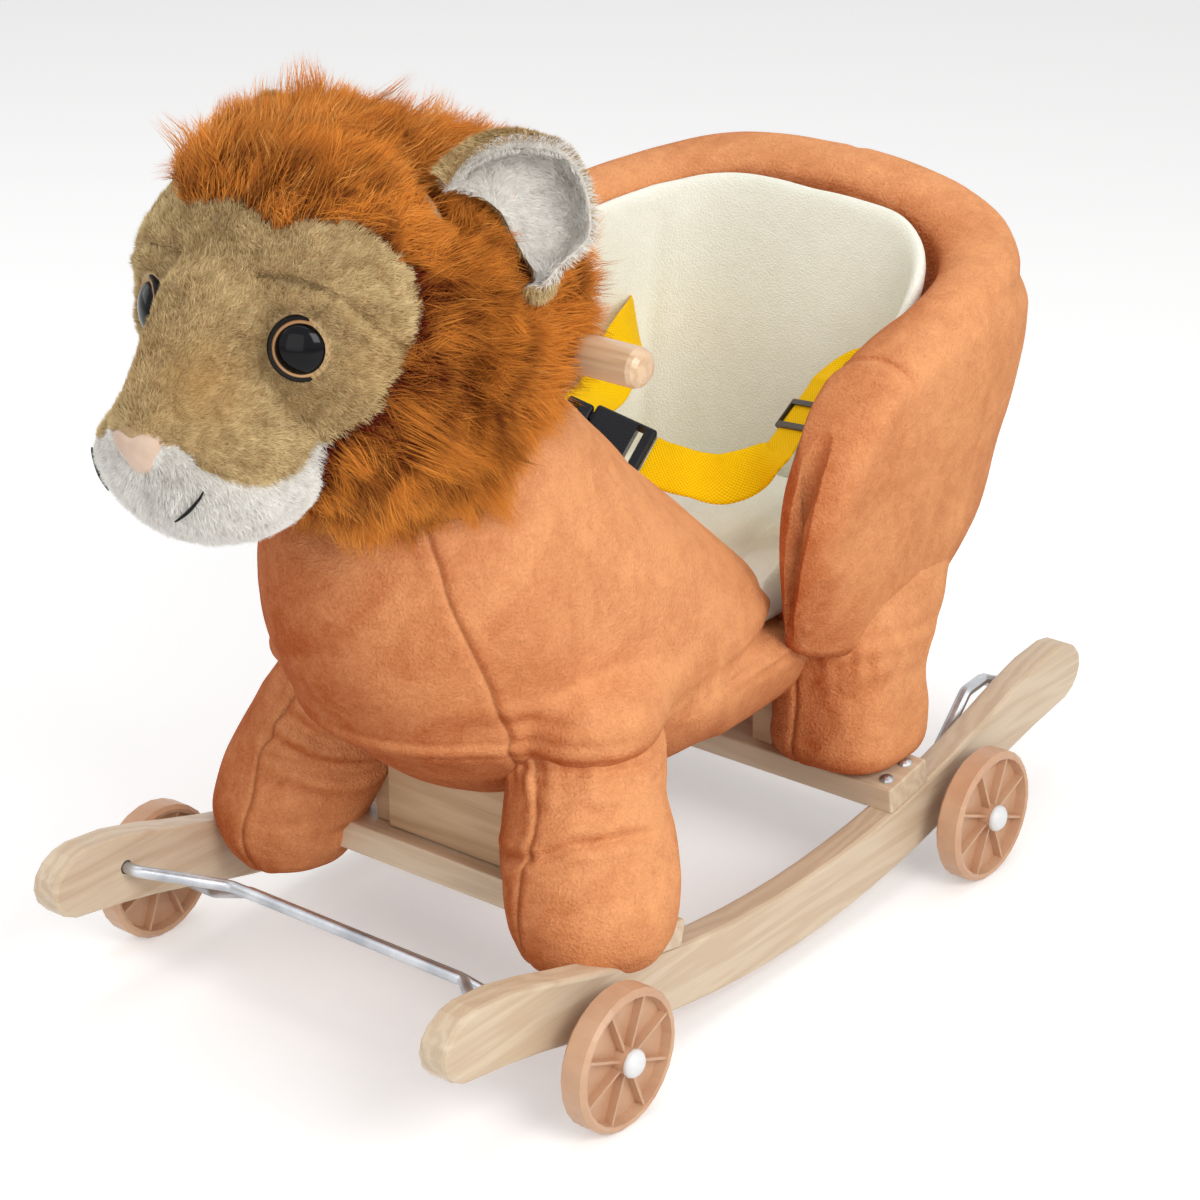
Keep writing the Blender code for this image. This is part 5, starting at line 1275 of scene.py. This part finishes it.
    def mane_shape(self, rows: int, columns: int, inset: float) -> np.ndarray:
        """The mane's body: an ellipsoid with fuller and flatter places, drawn forward over the brow."""
        out = ball_directions(rows, columns)
        swell = 1 + sum(share * np.exp(-np.sum((self.evened(out) - np.array(way))**2, -1) / breadth**2)
                        for way, share, breadth in self.SWELLS)
        points = out * (np.array(self.mane_size, float) * swell[..., None] - inset)
        front, up = np.clip(-out[..., 1], 0, 1), np.clip(out[..., 2], 0, 1)
        points[..., 1] -= 50 * up * front
        points[..., 2] += 20 * up * front - 10 * np.clip(out[..., 1], 0, 1) * up
        points = points + np.array(self.mane_centre)
        under_ear = np.linalg.norm(points - (88, -212, 518), axis=-1)
        return points + out * (-15 * bump(under_ear, 34))[..., None]

    def build_mane(self, face: np.ndarray) -> None:
        """A padded hood whose long pile is combed out and back from the face, in six layers."""
        hood = self.mane_shape(120, 180, 20)
        show("mane_hood", skin("mane_hood", hood), MANE_SKIN, replaces=("mane",))
        ear_rim = np.array([q[1] for q in self.EAR], float)
        ear = np.vstack([ear_rim, [q[0] for q in self.EAR]])
        gap = np.min(np.linalg.norm(hood[..., None, :] - ear, axis=-1), -1)
        on_hood = (self.field(hood) > -2) * np.clip((gap - 9) / 10, 0, 1)
        behind = self.behind_hairline(face)
        on_face = ((behind > 1.5 * smooth_noise(face, 6, 60)) & (face[..., 1] < -222)).astype(float)
        for layer, locks in enumerate(self.LOCKS):
            a, na, _ = scatter(hood, self.hood_strands, 40 + layer, on_hood)
            b, nb, (i, j) = scatter(face, self.fringe_strands, 140 + layer, on_face)
            roots, normal = np.vstack([a, b]), np.vstack([na, nb])
            edge = np.concatenate([np.full(len(a), 60.0), behind[i, j]])
            from_ear = np.sqrt(np.min(((roots[:, None] - ear_rim[None, ::2])**2).sum(-1), 1))
            clear = 0.22 + 0.78 * np.clip((from_ear - 16) / 30, 0, 1)
            x, y, z = roots.T
            around = unit(np.stack([x, 0 * x, z - self.HAIRLINE_LEVEL], -1))
            low = np.clip((415 - z) / 80, 0, 1)[:, None]
            flow = 0.62 * around + np.array([0, 0.8, 0.0]) * (1 - 0.5 * low) + low * np.array([0, 0, -0.8])
            fringe = 0.42 + 0.58 * np.clip(edge / 26, 0, 1)
            top = np.clip((z - 470) / 60, 0, 1)
            side_dark = bump(np.abs(x) - 92, 26) * bump(z - 420, 60) * np.clip((-150 - y) / 60, 0, 1)
            bias = 0.16 * top + 0.02 * low[:, 0] - 0.30 * side_dark - 0.16 * np.clip(1 - edge / 14, 0, 1)
            bias = bias + 0.16 * smooth_noise(roots, 30, 70)
            how = Growth(length=38, lift=0.40, droop=0.08, width=0.5, segments=3, curl=0.08, wander=0.6,
                         clumps=locks, pull=0.72)
            mesh = grow(f"mane_hair_{layer + 1}", roots, normal, flow, how, 90 + 7 * layer,
                        lengths=fringe * clear * (0.85 + 0.06 * layer), bias=bias)
            show(f"mane_hair_{layer + 1}", mesh, MANE_HAIR)

    def ear_points(self, side: Side) -> tuple[np.ndarray, np.ndarray]:
        """Sections of a cupped ear, from one end of its sewn edge to the other.

        Args:
            side: the lion's left ear stands up; its right one lies back on the mane.

        Returns:
            The points, and how white the cloth is at each.
        """
        t = np.linspace(0, 1, 90)
        sewn, rim = (curve(t, [station[k] for station in self.EAR]) for k in (0, 1))
        hollow, over = np.clip(curve(t, [station[2:] for station in self.EAR]), 0.5, None).T[..., None]
        reach = np.linalg.norm(rim - sewn, axis=1, keepdims=True)
        out = (rim - sewn) / reach
        opens = np.array(self.EAR_OPENS) / np.linalg.norm(self.EAR_OPENS)
        back = unit(out * (out @ opens)[:, None] - opens)
        s = np.linspace(0, 1, 34)
        dip = hollow * 4 * s * (1 - s) * (0.6 + 0.4 * s)
        inner = sewn[:, None] + out[:, None] * (reach * s)[..., None] + back[:, None] * dip[..., None]
        r = s[::-1]
        thick = (6 + 3 * (1 - np.abs(2 * r - 1))) * np.minimum(1, 6 * (1 - r) + 0.15)
        behind = hollow * 4 * r * (1 - r) * (0.6 + 0.4 * r) + thick
        outer = (sewn[:, None] + out[:, None] * (reach * r + over * np.sqrt(np.clip(r, 0, 1)))[..., None]
                 + back[:, None] * behind[..., None])
        points = np.concatenate([inner, outer], 1)
        points = points + 0.7 * grid_normals(points) * smooth_noise(points, 14, 61)[..., None]
        white = np.broadcast_to(np.concatenate([np.ones(len(s)), np.zeros(len(s))]), points.shape[:2])
        if side is Side.RIGHT:
            points = points * (-1, 1, 1)
            turn = np.array(Matrix.Rotation(math.radians(-62), 3, "X"))
            points = (points - self.EAR_PIVOT) @ turn.T + self.EAR_PIVOT + (5, 2, -10)
        return points, white

    def build_ears(self) -> None:
        """Two ears, each a white inner leaf and a tan back, with fur over both and past the rim."""
        for side, seed in ((Side.LEFT, 1), (Side.RIGHT, 2)):
            points, white = self.ear_points(side)
            mesh = skin("ear_cover", points)
            add_value(mesh, "white", np.append(white.ravel(), (1, 1)))
            add_value(mesh, "stain", np.zeros(white.size + 2))
            show(f"ear_cover_{side.value}", mesh, FACE, replaces=(f"ear_{side.value}",))
            roots, out, (i, j) = scatter(points, self.ear_strands, 400 + seed)
            flow = unit(roots - np.array(self.EAR_PIVOT) * (-1 if side is Side.LEFT else 1, 1, 1))
            how = Growth(length=6.5, lift=0.42, droop=0.05, width=0.34, segments=2, curl=0.15, wander=0.5,
                         clumps=1500, pull=0.4)
            fur = grow(f"ear_fur_{side.value}", roots, out, flow, how, 410 + seed,
                       marks={"white": white[i, j], "stain": 0 * roots[:, 0]})
            show(f"ear_fur_{side.value}", fur, FACE_FUR)

    def build(self) -> None:
        """Makes the whole head."""
        face, normal = self.build_face()
        for sign in (1, -1):
            self.eye(sign)
        self.nose()
        self.mouth(face, normal)
        self.build_mane(face)
        self.build_ears()


# Seat

@dataclass
class TubSeat:
    """The padded tub: plush shell, cream lining and seat cushion."""

    corner_y: float = 100.0
    squareness: float = 4.0
    edge_radius: float = 22.0
    roll: float = 17.0
    lean: float = 8.0
    far_rise: float = 12.0
    lip: float = 5.0
    dip: float = 13.0
    run: float = 190.0  # millimetres along the wall for each step of 1 in t
    seam_at: float = 0.83
    fold_at: float = 0.52
    floor: float = 172.0
    cushion_base: float = 187.0

    def corner_angle(self, t: np.ndarray) -> np.ndarray:
        """Angle on the plan curve, spaced evenly along it, from the side (0) to the back."""
        angle = np.linspace(0, math.pi / 2, 400)
        cx, sy = superellipse(angle, self.squareness)
        length = np.concatenate([[0], np.cumsum(np.hypot(np.diff(cx * 140), np.diff(sy * 165)))])
        return np.interp(1 - np.clip(t, 0, 1), length / length[-1], angle)

    @staticmethod
    def wing_front(z: np.ndarray) -> np.ndarray:
        """How far forward the wing reaches at a height."""
        return spline(z, (160, 207, 240, 268, 290, 309, 329, 345, 360), (58, 41, 31, 28, 32, 42, 60, 78, 92))

    def plan(self, t: np.ndarray, half: np.ndarray, back: np.ndarray, z: np.ndarray) -> tuple:
        """Point of the plan: t 0 is the middle of the back, 1 starts the wing, 2 is its front."""
        cx, sy = superellipse(self.corner_angle(t), self.squareness)
        forward = np.clip(t - 1, 0, 1)
        return half * cx, (self.corner_y + (back - self.corner_y) * sy
                           - forward * (self.corner_y - self.wing_front(z)))

    @staticmethod
    def inner(z: np.ndarray) -> tuple:
        """Half-width and back of the shell's inside."""
        return 98 + 0.079 * (z - 172), 161 + 0.32 * (z - 172)

    @staticmethod
    def outer(z: np.ndarray) -> tuple:
        """Half-width and back of the shell's outside."""
        heights = (160, 172, 212, 260, 307, 375, 430)
        return (spline(z, heights, (127, 131, 143, 150, 157, 160, 160)),
                spline(z, heights, (214, 222, 252, 272, 285, 290, 290)))

    def top(self, t: np.ndarray, side: np.ndarray) -> np.ndarray:
        """Height of the rim along the tub, which leans a little to the lion's left."""
        lean = self.far_rise * (side < 0) * eased((t - 0.55) / 0.55) - self.lean * side * eased(t / 0.6)
        lean = lean - self.dip * (side > 0) * bump(t - 1.04, 0.40)
        return lean + spline(t, (0, .14, .28, .38, .48, .55, .72, .87, 1.0, 1.3, 1.6, 1.8, 1.92, 2.0),
                             (416, 414, 409, 403, 396, 393, 387, 380, 373, 366, 357, 346, 336, 325))

    @staticmethod
    def bottom(t: np.ndarray) -> np.ndarray:
        """Height of the wall's lower edge."""
        return np.maximum(spline(t, (0, 1.2, 1.5, 1.75, 1.9, 2.0), (166, 166, 166, 168, 173, 184)), 166)

    @staticmethod
    def stations(end: float, count: int) -> tuple[np.ndarray, np.ndarray]:
        """Columns of t, from the left wing's front round the back to the right one's, and of its side."""
        t = end * (1 - (1 - np.linspace(0, 1, count))**1.35)
        side = np.concatenate([np.ones(count), -np.ones(count - 1)])
        return np.concatenate([t[::-1], t[1:]])[:, None], side[:, None]

    def shell_points(self) -> tuple[np.ndarray, np.ndarray]:
        """Wall sections, up the inside, over the rolled rim and down the outside, and their seams."""
        t, side = self.stations(1.985, 96)
        top, low = self.top(t, side), self.bottom(t)
        crown = np.linspace(0, math.pi, 22)[1:-1]
        wall = np.linspace(0, 1, 26)
        z = np.concatenate([low + (top - self.roll - low) * wall, top - self.roll + self.roll * np.sin(crown),
                            low + (top - self.roll - low) * wall[::-1]], 1)
        w = np.broadcast_to(np.concatenate([np.zeros(26), 0.5 - 0.5 * np.cos(crown), np.ones(26)]), z.shape)
        half_i, back_i = self.inner(z)
        half_o, back_o = self.outer(z)
        half_o = half_o - 16 * np.clip((t - 1.3) / 0.7, 0, 1) * np.clip((262 - z) / 60, 0, 1)
        reach = np.clip(2 - t, 0, 1) * (self.corner_y - self.wing_front(z))
        near = 1 - np.clip(reach / self.edge_radius, 0, 1)
        w = 0.5 + (w - 0.5) * np.sqrt(np.clip(1 - near**2, 0.03, 1))
        lip = self.lip * eased((z - top + self.roll + 14) / 16) * (1 - bump(t - 0.4, 0.25) * (side > 0))
        w = w - lip / np.maximum(half_o - half_i, 20) * np.clip(1 - w, 0, 1)**1.5
        xi, yi = self.plan(t, half_i, back_i, z)
        xo, yo = self.plan(t, half_o, back_o, z)
        points = np.stack([side * (xi * (1 - w) + xo * w), yi * (1 - w) + yo * w, z], -1)
        normal = grid_normals(points)
        outside = np.clip((w - 0.5) / 0.3, 0, 1)
        lumps = 1.4 * smooth_noise(points, 60, 21) + 0.6 * smooth_noise(points, 22, 22)
        pull = np.sin(z * 0.55 + 3 * smooth_noise(points, 25, 24)) * bump((2 - t) * 80, 22)
        pull = pull * np.clip((250 - z) / 70, 0, 1)
        sewn, from_seam = (side > 0) * (w > 0.3), (t - self.seam_at) * self.run
        valley = (bump(from_seam, 2.6) + (t == 0)) * sewn
        relief = outside * (lumps + 1.6 * pull) - 1.3 * valley
        return points + normal * relief[..., None], 0.7 * bump(from_seam, 1.4) * sewn

    def lining_points(self) -> np.ndarray:
        """Padded lining: a quilted inner face, its top edge tucked behind the roll."""
        t, side = self.stations(1.70, 90)
        drop = spline(t, (0, .15, .3, .5, 2), (20, 17, 11, 9, 12)) + 19 * eased((t - 0.44) / 0.3)
        top = self.top(t, side) - np.where(side > 0, drop, 12 + 8 * np.clip(1 - t / 0.55, 0, 1))
        top = top - 6 * np.clip(t - 1, 0, 1)
        low = np.maximum(self.bottom(t), self.floor) + 16
        rise = np.linspace(0, 1, 30)
        turn = np.linspace(0, math.pi, 9)[1:-1]
        z = np.concatenate([low + (top - 9 - low) * rise, top - 9 + 9 * np.sin(turn),
                            low + (top - 9 - low) * rise[::-1]], 1)
        w = np.broadcast_to(np.concatenate([np.full(30, 8.0), 4 + 4 * np.cos(turn), np.zeros(30)]), z.shape)
        full = np.concatenate([np.sin(rise * math.pi)**0.5, np.zeros(7), np.zeros(30)])
        corner = bump((t - self.fold_at) * self.run, 7)
        cloth = np.stack(np.broadcast_arrays(t * 60, side * 40, z), -1)
        puff = full * (1 - corner + 0.8 * smooth_noise(cloth, 40, 31))
        w = w + 0.6 + puff - 2.0 * corner * full
        w = w * (1 - 0.8 * np.clip((t - 0.8) / 0.5, 0, 1) * (side > 0))
        half, back = self.inner(z)
        x, y = self.plan(t, half - w, back - w, z)
        return np.stack([side * x, y, z], -1)

    def cushion_points(self) -> tuple[np.ndarray, np.ndarray]:
        """The cushion's top and bottom: crowned, with a channel beside each thigh."""
        u, v = np.meshgrid(np.linspace(-1, 1, 97), np.linspace(0, 1, 73), indexing="ij")
        back = self.corner_y + 54 * (1 - np.abs(0.985 * u)**4)**0.25
        y = 34 + (back - 34) * v
        x = u * 88.5
        channel = bump(np.abs(u) - 0.66, 0.07)
        edge = np.clip(np.minimum(v, 1 - v) * 8, 0, 1)
        top = 206 + 22 * spline(v, (0, .35, .8, 1), (0, .62, 1, .9)) + 8 * (1 - np.abs(u)**4) - 4.5 * channel
        top = top - 7 * (1 - edge)**2 + 0.8 * smooth_noise(np.stack([x, y, x * 0], -1), 30, 33)
        lower = np.stack([x * 0.985, y, np.full_like(top, self.cushion_base)], -1)
        return np.stack([x, y + 0.27 * (top - self.cushion_base) * v**2, top], -1), lower

    def cushion(self) -> bpy.types.Mesh:
        """The cushion's top, base and rounded side wall in one closed mesh."""
        upper, lower = self.cushion_points()
        rows, columns = upper.shape[:2]
        index = np.arange(rows * columns).reshape(rows, columns)
        rim = np.concatenate([index[:, 0], index[-1, 1:], index[-2::-1, -1], index[0, -2:0:-1]])
        quads = quads_of(rows, columns, False)
        count, size = rows * columns, len(rim)
        levels = np.linspace(0, 1, 8)[1:-1]
        a, b = upper.reshape(-1, 3)[rim], lower.reshape(-1, 3)[rim]
        centre = np.array([0, 95, 0])
        wall = []
        for s in levels:
            ring = a * (1 - s) + b * s
            wall.append(ring + (ring - centre) * (1, 1, 0) * 0.02 * math.sin(math.pi * s))
        verts = np.vstack([upper.reshape(-1, 3), lower.reshape(-1, 3), *wall])
        bands = [rim] + [2 * count + k * size + np.arange(size) for k in range(len(levels))] + [rim + count]
        sides = [np.stack([p, q, np.roll(q, -1), np.roll(p, -1)], -1) for p, q in zip(bands, bands[1:])]
        mesh = mesh_from("seat_cushion_cover", verts, quads, quads[:, ::-1] + count, *sides)
        face_out(mesh)
        return mesh

    def build(self) -> None:
        """Makes the shell, the lining and the cushion."""
        points, seams = self.shell_points()
        shell, lining = skin("seat_shell_cover", points), skin("seat_lining_cover", self.lining_points())
        pieces = (("shell", shell, PLUSH, 0.8, seams), ("lining", lining, LINING, 0.6, 0),
                  ("cushion", self.cushion(), LINING, 0.7, 0))
        for name, mesh, finish, fill, seam in pieces:
            mark_pile(mesh, seam)
            show(f"seat_{name}_cover", mesh, finish, replaces=(f"seat_{name}",))


# Lap belt

@dataclass
class LapBelt:
    """Yellow webbing, side-release buckle and sliding adjuster."""

    width: float = 30.0
    thick: float = 1.7
    buckle_at: tuple = (-14, 33, 285)
    buckle_along: tuple = (.90, .30, -.316)
    buckle_face: tuple = (.434, -.55, .711)
    slide_at: tuple = (75, 107, 298.5)
    slide_along: tuple = (.137, .746, .651)
    slide_wide: tuple = (-.913, .347, -.208)

    @staticmethod
    def frame_at(centre: tuple, along: tuple, up: tuple) -> Matrix:
        """Matrix that takes a fitting's own axes to their place: x along, z out of its face."""
        x, z = Vector(along).normalized(), Vector(up)
        z = (z - x * z.dot(x)).normalized()
        return Matrix.Translation(Vector(centre)) @ Matrix((x, z.cross(x), z)).transposed().to_4x4()

    def strap(self, name: str, points: list, across: list, steps: int) -> bpy.types.Mesh:
        """Flat webbing with soft edges, its width along a changing direction."""
        t = np.linspace(0, 1, steps)
        path, wide = curve(t, points), curve(t, across)
        along = unit(np.gradient(path, axis=0))
        wide = unit(wide - along * np.sum(wide * along, 1, keepdims=True))
        face = np.cross(along, wide)
        a = np.concatenate([np.linspace(1, -1, 13), [-1.02], np.linspace(-1, 1, 13), [1.02]])
        b = np.concatenate([np.full(13, 1.0), [0], np.full(13, -1.0), [0]])
        b = b * np.where(np.abs(a) > 0.95, 0.72, 1.0)
        mesh = skin(name, path[:, None] + wide[:, None] * a[:, None] * self.width / 2
                    + face[:, None] * b[:, None] * self.thick / 2)
        run = np.concatenate([[0], np.cumsum(np.linalg.norm(np.diff(path, axis=0), axis=1))]) * 0.001
        uv = np.stack(np.broadcast_arrays(run[:, None], a[None] * self.width / 2000), -1).reshape(-1, 2)
        add_uv(mesh, np.vstack([uv, [[0, 0], [run[-1], 0]]]))
        return mesh

    def build(self) -> None:
        """Makes both webbings and dresses the fittings."""
        buckle = self.frame_at(self.buckle_at, self.buckle_along, self.buckle_face)
        up = tuple(np.cross(self.slide_along, self.slide_wide))
        slide = self.frame_at(self.slide_at, self.slide_along, up)
        across, wide = tuple(buckle.to_3x3() @ Vector((0, 1, 0))), self.slide_wide

        def at(matrix: Matrix, x: float, y: float, z: float) -> list:
            """A point given in a fitting's own axes."""
            return list(matrix @ Vector((x, y, z)))

        upright = (-.1, .05, .99)
        left = ([at(buckle, 26, 0, 0), at(buckle, 33, 0, 0), (24, 46, 272.3), (36, 52, 269.5),
                 (49, 63, 266.2), (60, 78.5, 270.3), *(at(slide, x, 0, 0) for x in (-30, -21, 0, 21, 30)),
                 (86, 146, 317),
                 (91.5, 157, 316), (96.5, 165.5, 315)],
                [across, across, (-.26, .59, .69), (-.42, .54, .70), (-.33, .42, .86), (-.73, .37, .57),
                 *[wide] * 5, (-.5, .2, .5), upright, upright])
        right = ([at(buckle, -25, -13, -6.5), at(buckle, -25, 0, -6.5), at(buckle, -25, 12, -8.5),
                  at(buckle, -25, 25, -19), (-53, 78, 294.5), (-61, 102, 304), (-71, 127, 310.5),
                  (-87, 154, 311), (-96.5, 165.5, 309)],
                 [*[self.buckle_along] * 4, (.86, .33, -.3), (.8, .3, -.45), (.6, .2, -.75), (.2, .1, -.97),
                  (.1, .05, -.99)])
        for side, (points, wides) in (("left", left), ("right", right)):
            mesh = self.strap(f"belt_{side}", points, wides, 180)
            show(f"belt_{side}_webbing", mesh, BELT, replaces=(f"belt_{side}",))
        dress_node("buckle_socket", BUCKLE)
        dress_node("buckle_tongue", BUCKLE)
        dress_node("belt_adjuster", ADJUSTER)


# Wooden base and wheels

def board(name: str, low: tuple, high: tuple, edge: float) -> bpy.types.Mesh:
    """A flat board with rounded arrises, from its lowest to its highest corner."""
    low, high = np.array(low, float), np.array(high, float)
    middle, half = (low + high) / 2, (high - low) / 2
    turn = np.radians(np.arange(0, 360, 15) + 7.5)
    corner = np.sign(np.stack([np.cos(turn), np.sin(turn)], -1))
    arc = np.stack([np.cos(turn), np.sin(turn)], -1) * edge
    rings = []
    for drop, draw in ((0, 1), (0.3, 0.45), (1, 0)):
        shape = corner * (half[:2] - edge) + arc * (1 - draw)
        rings.append((shape, half[2] - drop * edge))
    levels = [(shape, -h) for shape, h in rings] + [(shape, h) for shape, h in rings[::-1]]
    points = [np.column_stack([shape + middle[:2], np.full(len(turn), middle[2] + h)]) for shape, h in levels]
    return skin(name, np.array(points))


def dress_node(name: str, finish: Finish) -> None:
    """Gives a solid of the frame, whose shape is right, its finish."""
    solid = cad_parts[name]
    solid.data.materials.clear()
    solid.data.materials.append(finish.material())


@dataclass
class WoodenBase:
    """Rockers, cross bars, posts and boards."""

    def build(self) -> None:
        """Dresses the boards with their grain along them."""
        for side in ("left", "right"):
            dress_node(f"rocker_{side}", BEECH_LONG)
            for end in ("front", "rear"):
                dress_node(f"post_{end}_{side}", PLY)
        for end in ("front", "rear"):
            dress_node(f"crossbar_{end}", BEECH_CROSS)
            for k in range(4):
                dress_node(f"screw_{end}_{k + 1}", STEEL)
        show("apron_panel", board("apron_panel", (-45.2, -136, 86), (45.2, -124, 185), 2.0), PLY,
             replaces=("apron_board",), sharp=40)
        for name in ("seat_board", "neck_board"):
            dress_node(name, PLY)
        dress_node("handle", HANDLE_WOOD)


@dataclass
class Carriers:
    """Axles, bails, wheels and caps."""

    rod: float = 3.5
    FRONT_AXLE = ((188, -200, 42), (127, -200, 42), (80, -218, 65.2))
    FRONT_BAIL = ((144, -262, 82), (127, -262, 82), (88, -225, 69.6))
    CAP = ((185.4, 0.5), (185.4, 8.0), (186.6, 8.4), (188.4, 7.8), (190, 6.2), (191.1, 4.0), (191.7, 0.5))
    AXLES = {"front": (-200, 42), "rear": (168, 42)}

    def build(self) -> None:
        """Bends the front rods, domes the caps, and dresses what turns on the carriers."""
        for name, points, bend in (("axle_front", self.FRONT_AXLE, 12), ("bail_front", self.FRONT_BAIL, 9)):
            path = fillet_path([*points, *((-x, y, z) for x, y, z in points[::-1])], bend)
            rod = tube(name, path, self.rod, 24)
            show(f"{name}_rod", rod, STEEL, "front_carrier", replaces=(name,), sharp=60)
        for name in ("axle_rear", "bail_rear"):
            dress_node(name, STEEL)
        for end, axle in self.AXLES.items():
            for side, sign in (("left", 1), ("right", -1)):
                dress_node(f"wheel_{end}_{side}", WHEEL)
                rings = np.roll(lathe([(sign * x, r) for x, r in self.CAP], 40), 1, -1)
                name = f"cap_{end}_{side}"
                show(f"{name}_dome", skin("cap", rings + (0, *axle)), CAP, f"{end}_carrier", replaces=(name,),
                     sharp=60)


# Studio

@dataclass
class Studio:
    """Floor, background, lights and camera."""

    eye: tuple = (1154.16, -1460.82, 1008.31)
    target: tuple = (-21.1, 34.6, 178.9)
    focal: float = 102.3
    # Name, place, aim, size in metres, power in watts, colour
    LAMPS = (("key", (1900, -600, 1500), (0, -60, 250), 1.2, 30, (1.0, 0.985, 0.96)),
             ("front", (500, -2100, 900), (0, 0, 230), 1.5, 7, (1, 1, 1)),
             ("far side", (-1700, -700, 1100), (0, -60, 250), 1.3, 7, (1, 1, 1)),
             ("top", (0, 200, 2200), (0, 0, 200), 1.6, 12, (1, 1, 1)))

    @staticmethod
    def seen(tree: bpy.types.NodeTree) -> bpy.types.NodeSocket:
        """1 where the camera looks straight, by a reflection or through glass, and 0 elsewhere."""
        ray = node(tree, "ShaderNodeLightPath").outputs
        bent = maths(tree, "ADD", ray["Is Glossy Ray"], ray["Is Transmission Ray"])
        return maths(tree, "ADD", ray["Is Camera Ray"], bent, clamp=True)

    @staticmethod
    def stand(name: str, data: bpy.types.ID, place: tuple, aim: tuple) -> bpy.types.Object:
        """Puts a lamp or a camera in its place, facing a point, in millimetres."""
        made = bpy.data.objects.new(name, data)
        bpy.context.scene.collection.objects.link(made)
        here, there = Vector(framed(place)), Vector(framed(aim))
        made.location = here
        made.rotation_mode = "QUATERNION"
        made.rotation_quaternion = (there - here).to_track_quat("-Z", "Y")
        return made

    def floor(self) -> None:
        """A pale floor that shows white to the camera and keeps the soft shadow."""
        s = 20000.0
        mesh = mesh_from("floor", np.array([(-s, -s, 0), (s, -s, 0), (s, s, 0), (-s, s, 0)], float),
                         np.array([[0, 1, 2, 3]]))
        made = bpy.data.materials.new("studio floor")
        made.use_nodes = True
        tree = made.node_tree
        feed(tree, tree.nodes["Principled BSDF"],
             {"Base Color": (0.86, 0.86, 0.86, 1), "Roughness": 0.9, "Specular IOR Level": 0.0,
              "Emission Color": (1, 1, 1, 1),
              "Emission Strength": maths(tree, "MULTIPLY", self.seen(tree), 0.3)})
        mesh.materials.append(made)
        floor = bpy.data.objects.new("floor", mesh)
        bpy.context.scene.collection.objects.link(floor)
        floor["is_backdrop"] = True

    def world(self) -> None:
        """White to the camera and in reflections, and a gentle fill to everything else."""
        world = bpy.data.worlds.new("studio")
        bpy.context.scene.world = world
        world.use_nodes = True
        tree = world.node_tree
        feed(tree, tree.nodes["Background"],
             {"Color": (1, 1, 1, 1), "Strength": spread(tree, self.seen(tree), 0.0, 1.0, 0.48, 1.0)})

    def lamps(self) -> None:
        """Soft square lamps."""
        for name, place, aim, size, power, colour in self.LAMPS:
            data = bpy.data.lights.new(name, "AREA")
            data.shape, data.size, data.energy, data.color = "SQUARE", size, power, colour
            self.stand(name, data, place, aim)

    def camera(self) -> None:
        """The photograph's own angle, distance and focal length."""
        data = bpy.data.cameras.new("camera")
        data.lens, data.sensor_width = self.focal, 36.0
        data.clip_start, data.clip_end = 0.05, 60.0
        bpy.context.scene.camera = self.stand("camera", data, self.eye, self.target)

    def build(self) -> None:
        """Sets up the studio."""
        self.camera()
        self.floor()
        self.world()
        self.lamps()
        bpy.context.scene.view_settings.view_transform = "Standard"


def corners() -> list[list[float]]:
    """The shown object's lowest and highest corners, as plain lists."""
    return [list(corner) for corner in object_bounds()]


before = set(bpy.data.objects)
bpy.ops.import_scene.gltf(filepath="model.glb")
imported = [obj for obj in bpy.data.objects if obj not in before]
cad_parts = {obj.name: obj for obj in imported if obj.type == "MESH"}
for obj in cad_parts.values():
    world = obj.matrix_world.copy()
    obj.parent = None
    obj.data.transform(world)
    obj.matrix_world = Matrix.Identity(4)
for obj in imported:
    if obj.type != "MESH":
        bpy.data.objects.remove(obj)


def main() -> None:
    """Builds the studio, then dresses the toy from the base up."""
    logging.basicConfig(level=logging.INFO, format="%(name)s %(message)s")
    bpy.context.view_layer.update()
    for part in (Studio(), WoodenBase(), Carriers(), StuffedBody(), LionHead(), TubSeat(), LapBelt()):
        LOG.info("building %s", type(part).__name__)
        part.build()


if __name__ == "__main__":
    main()
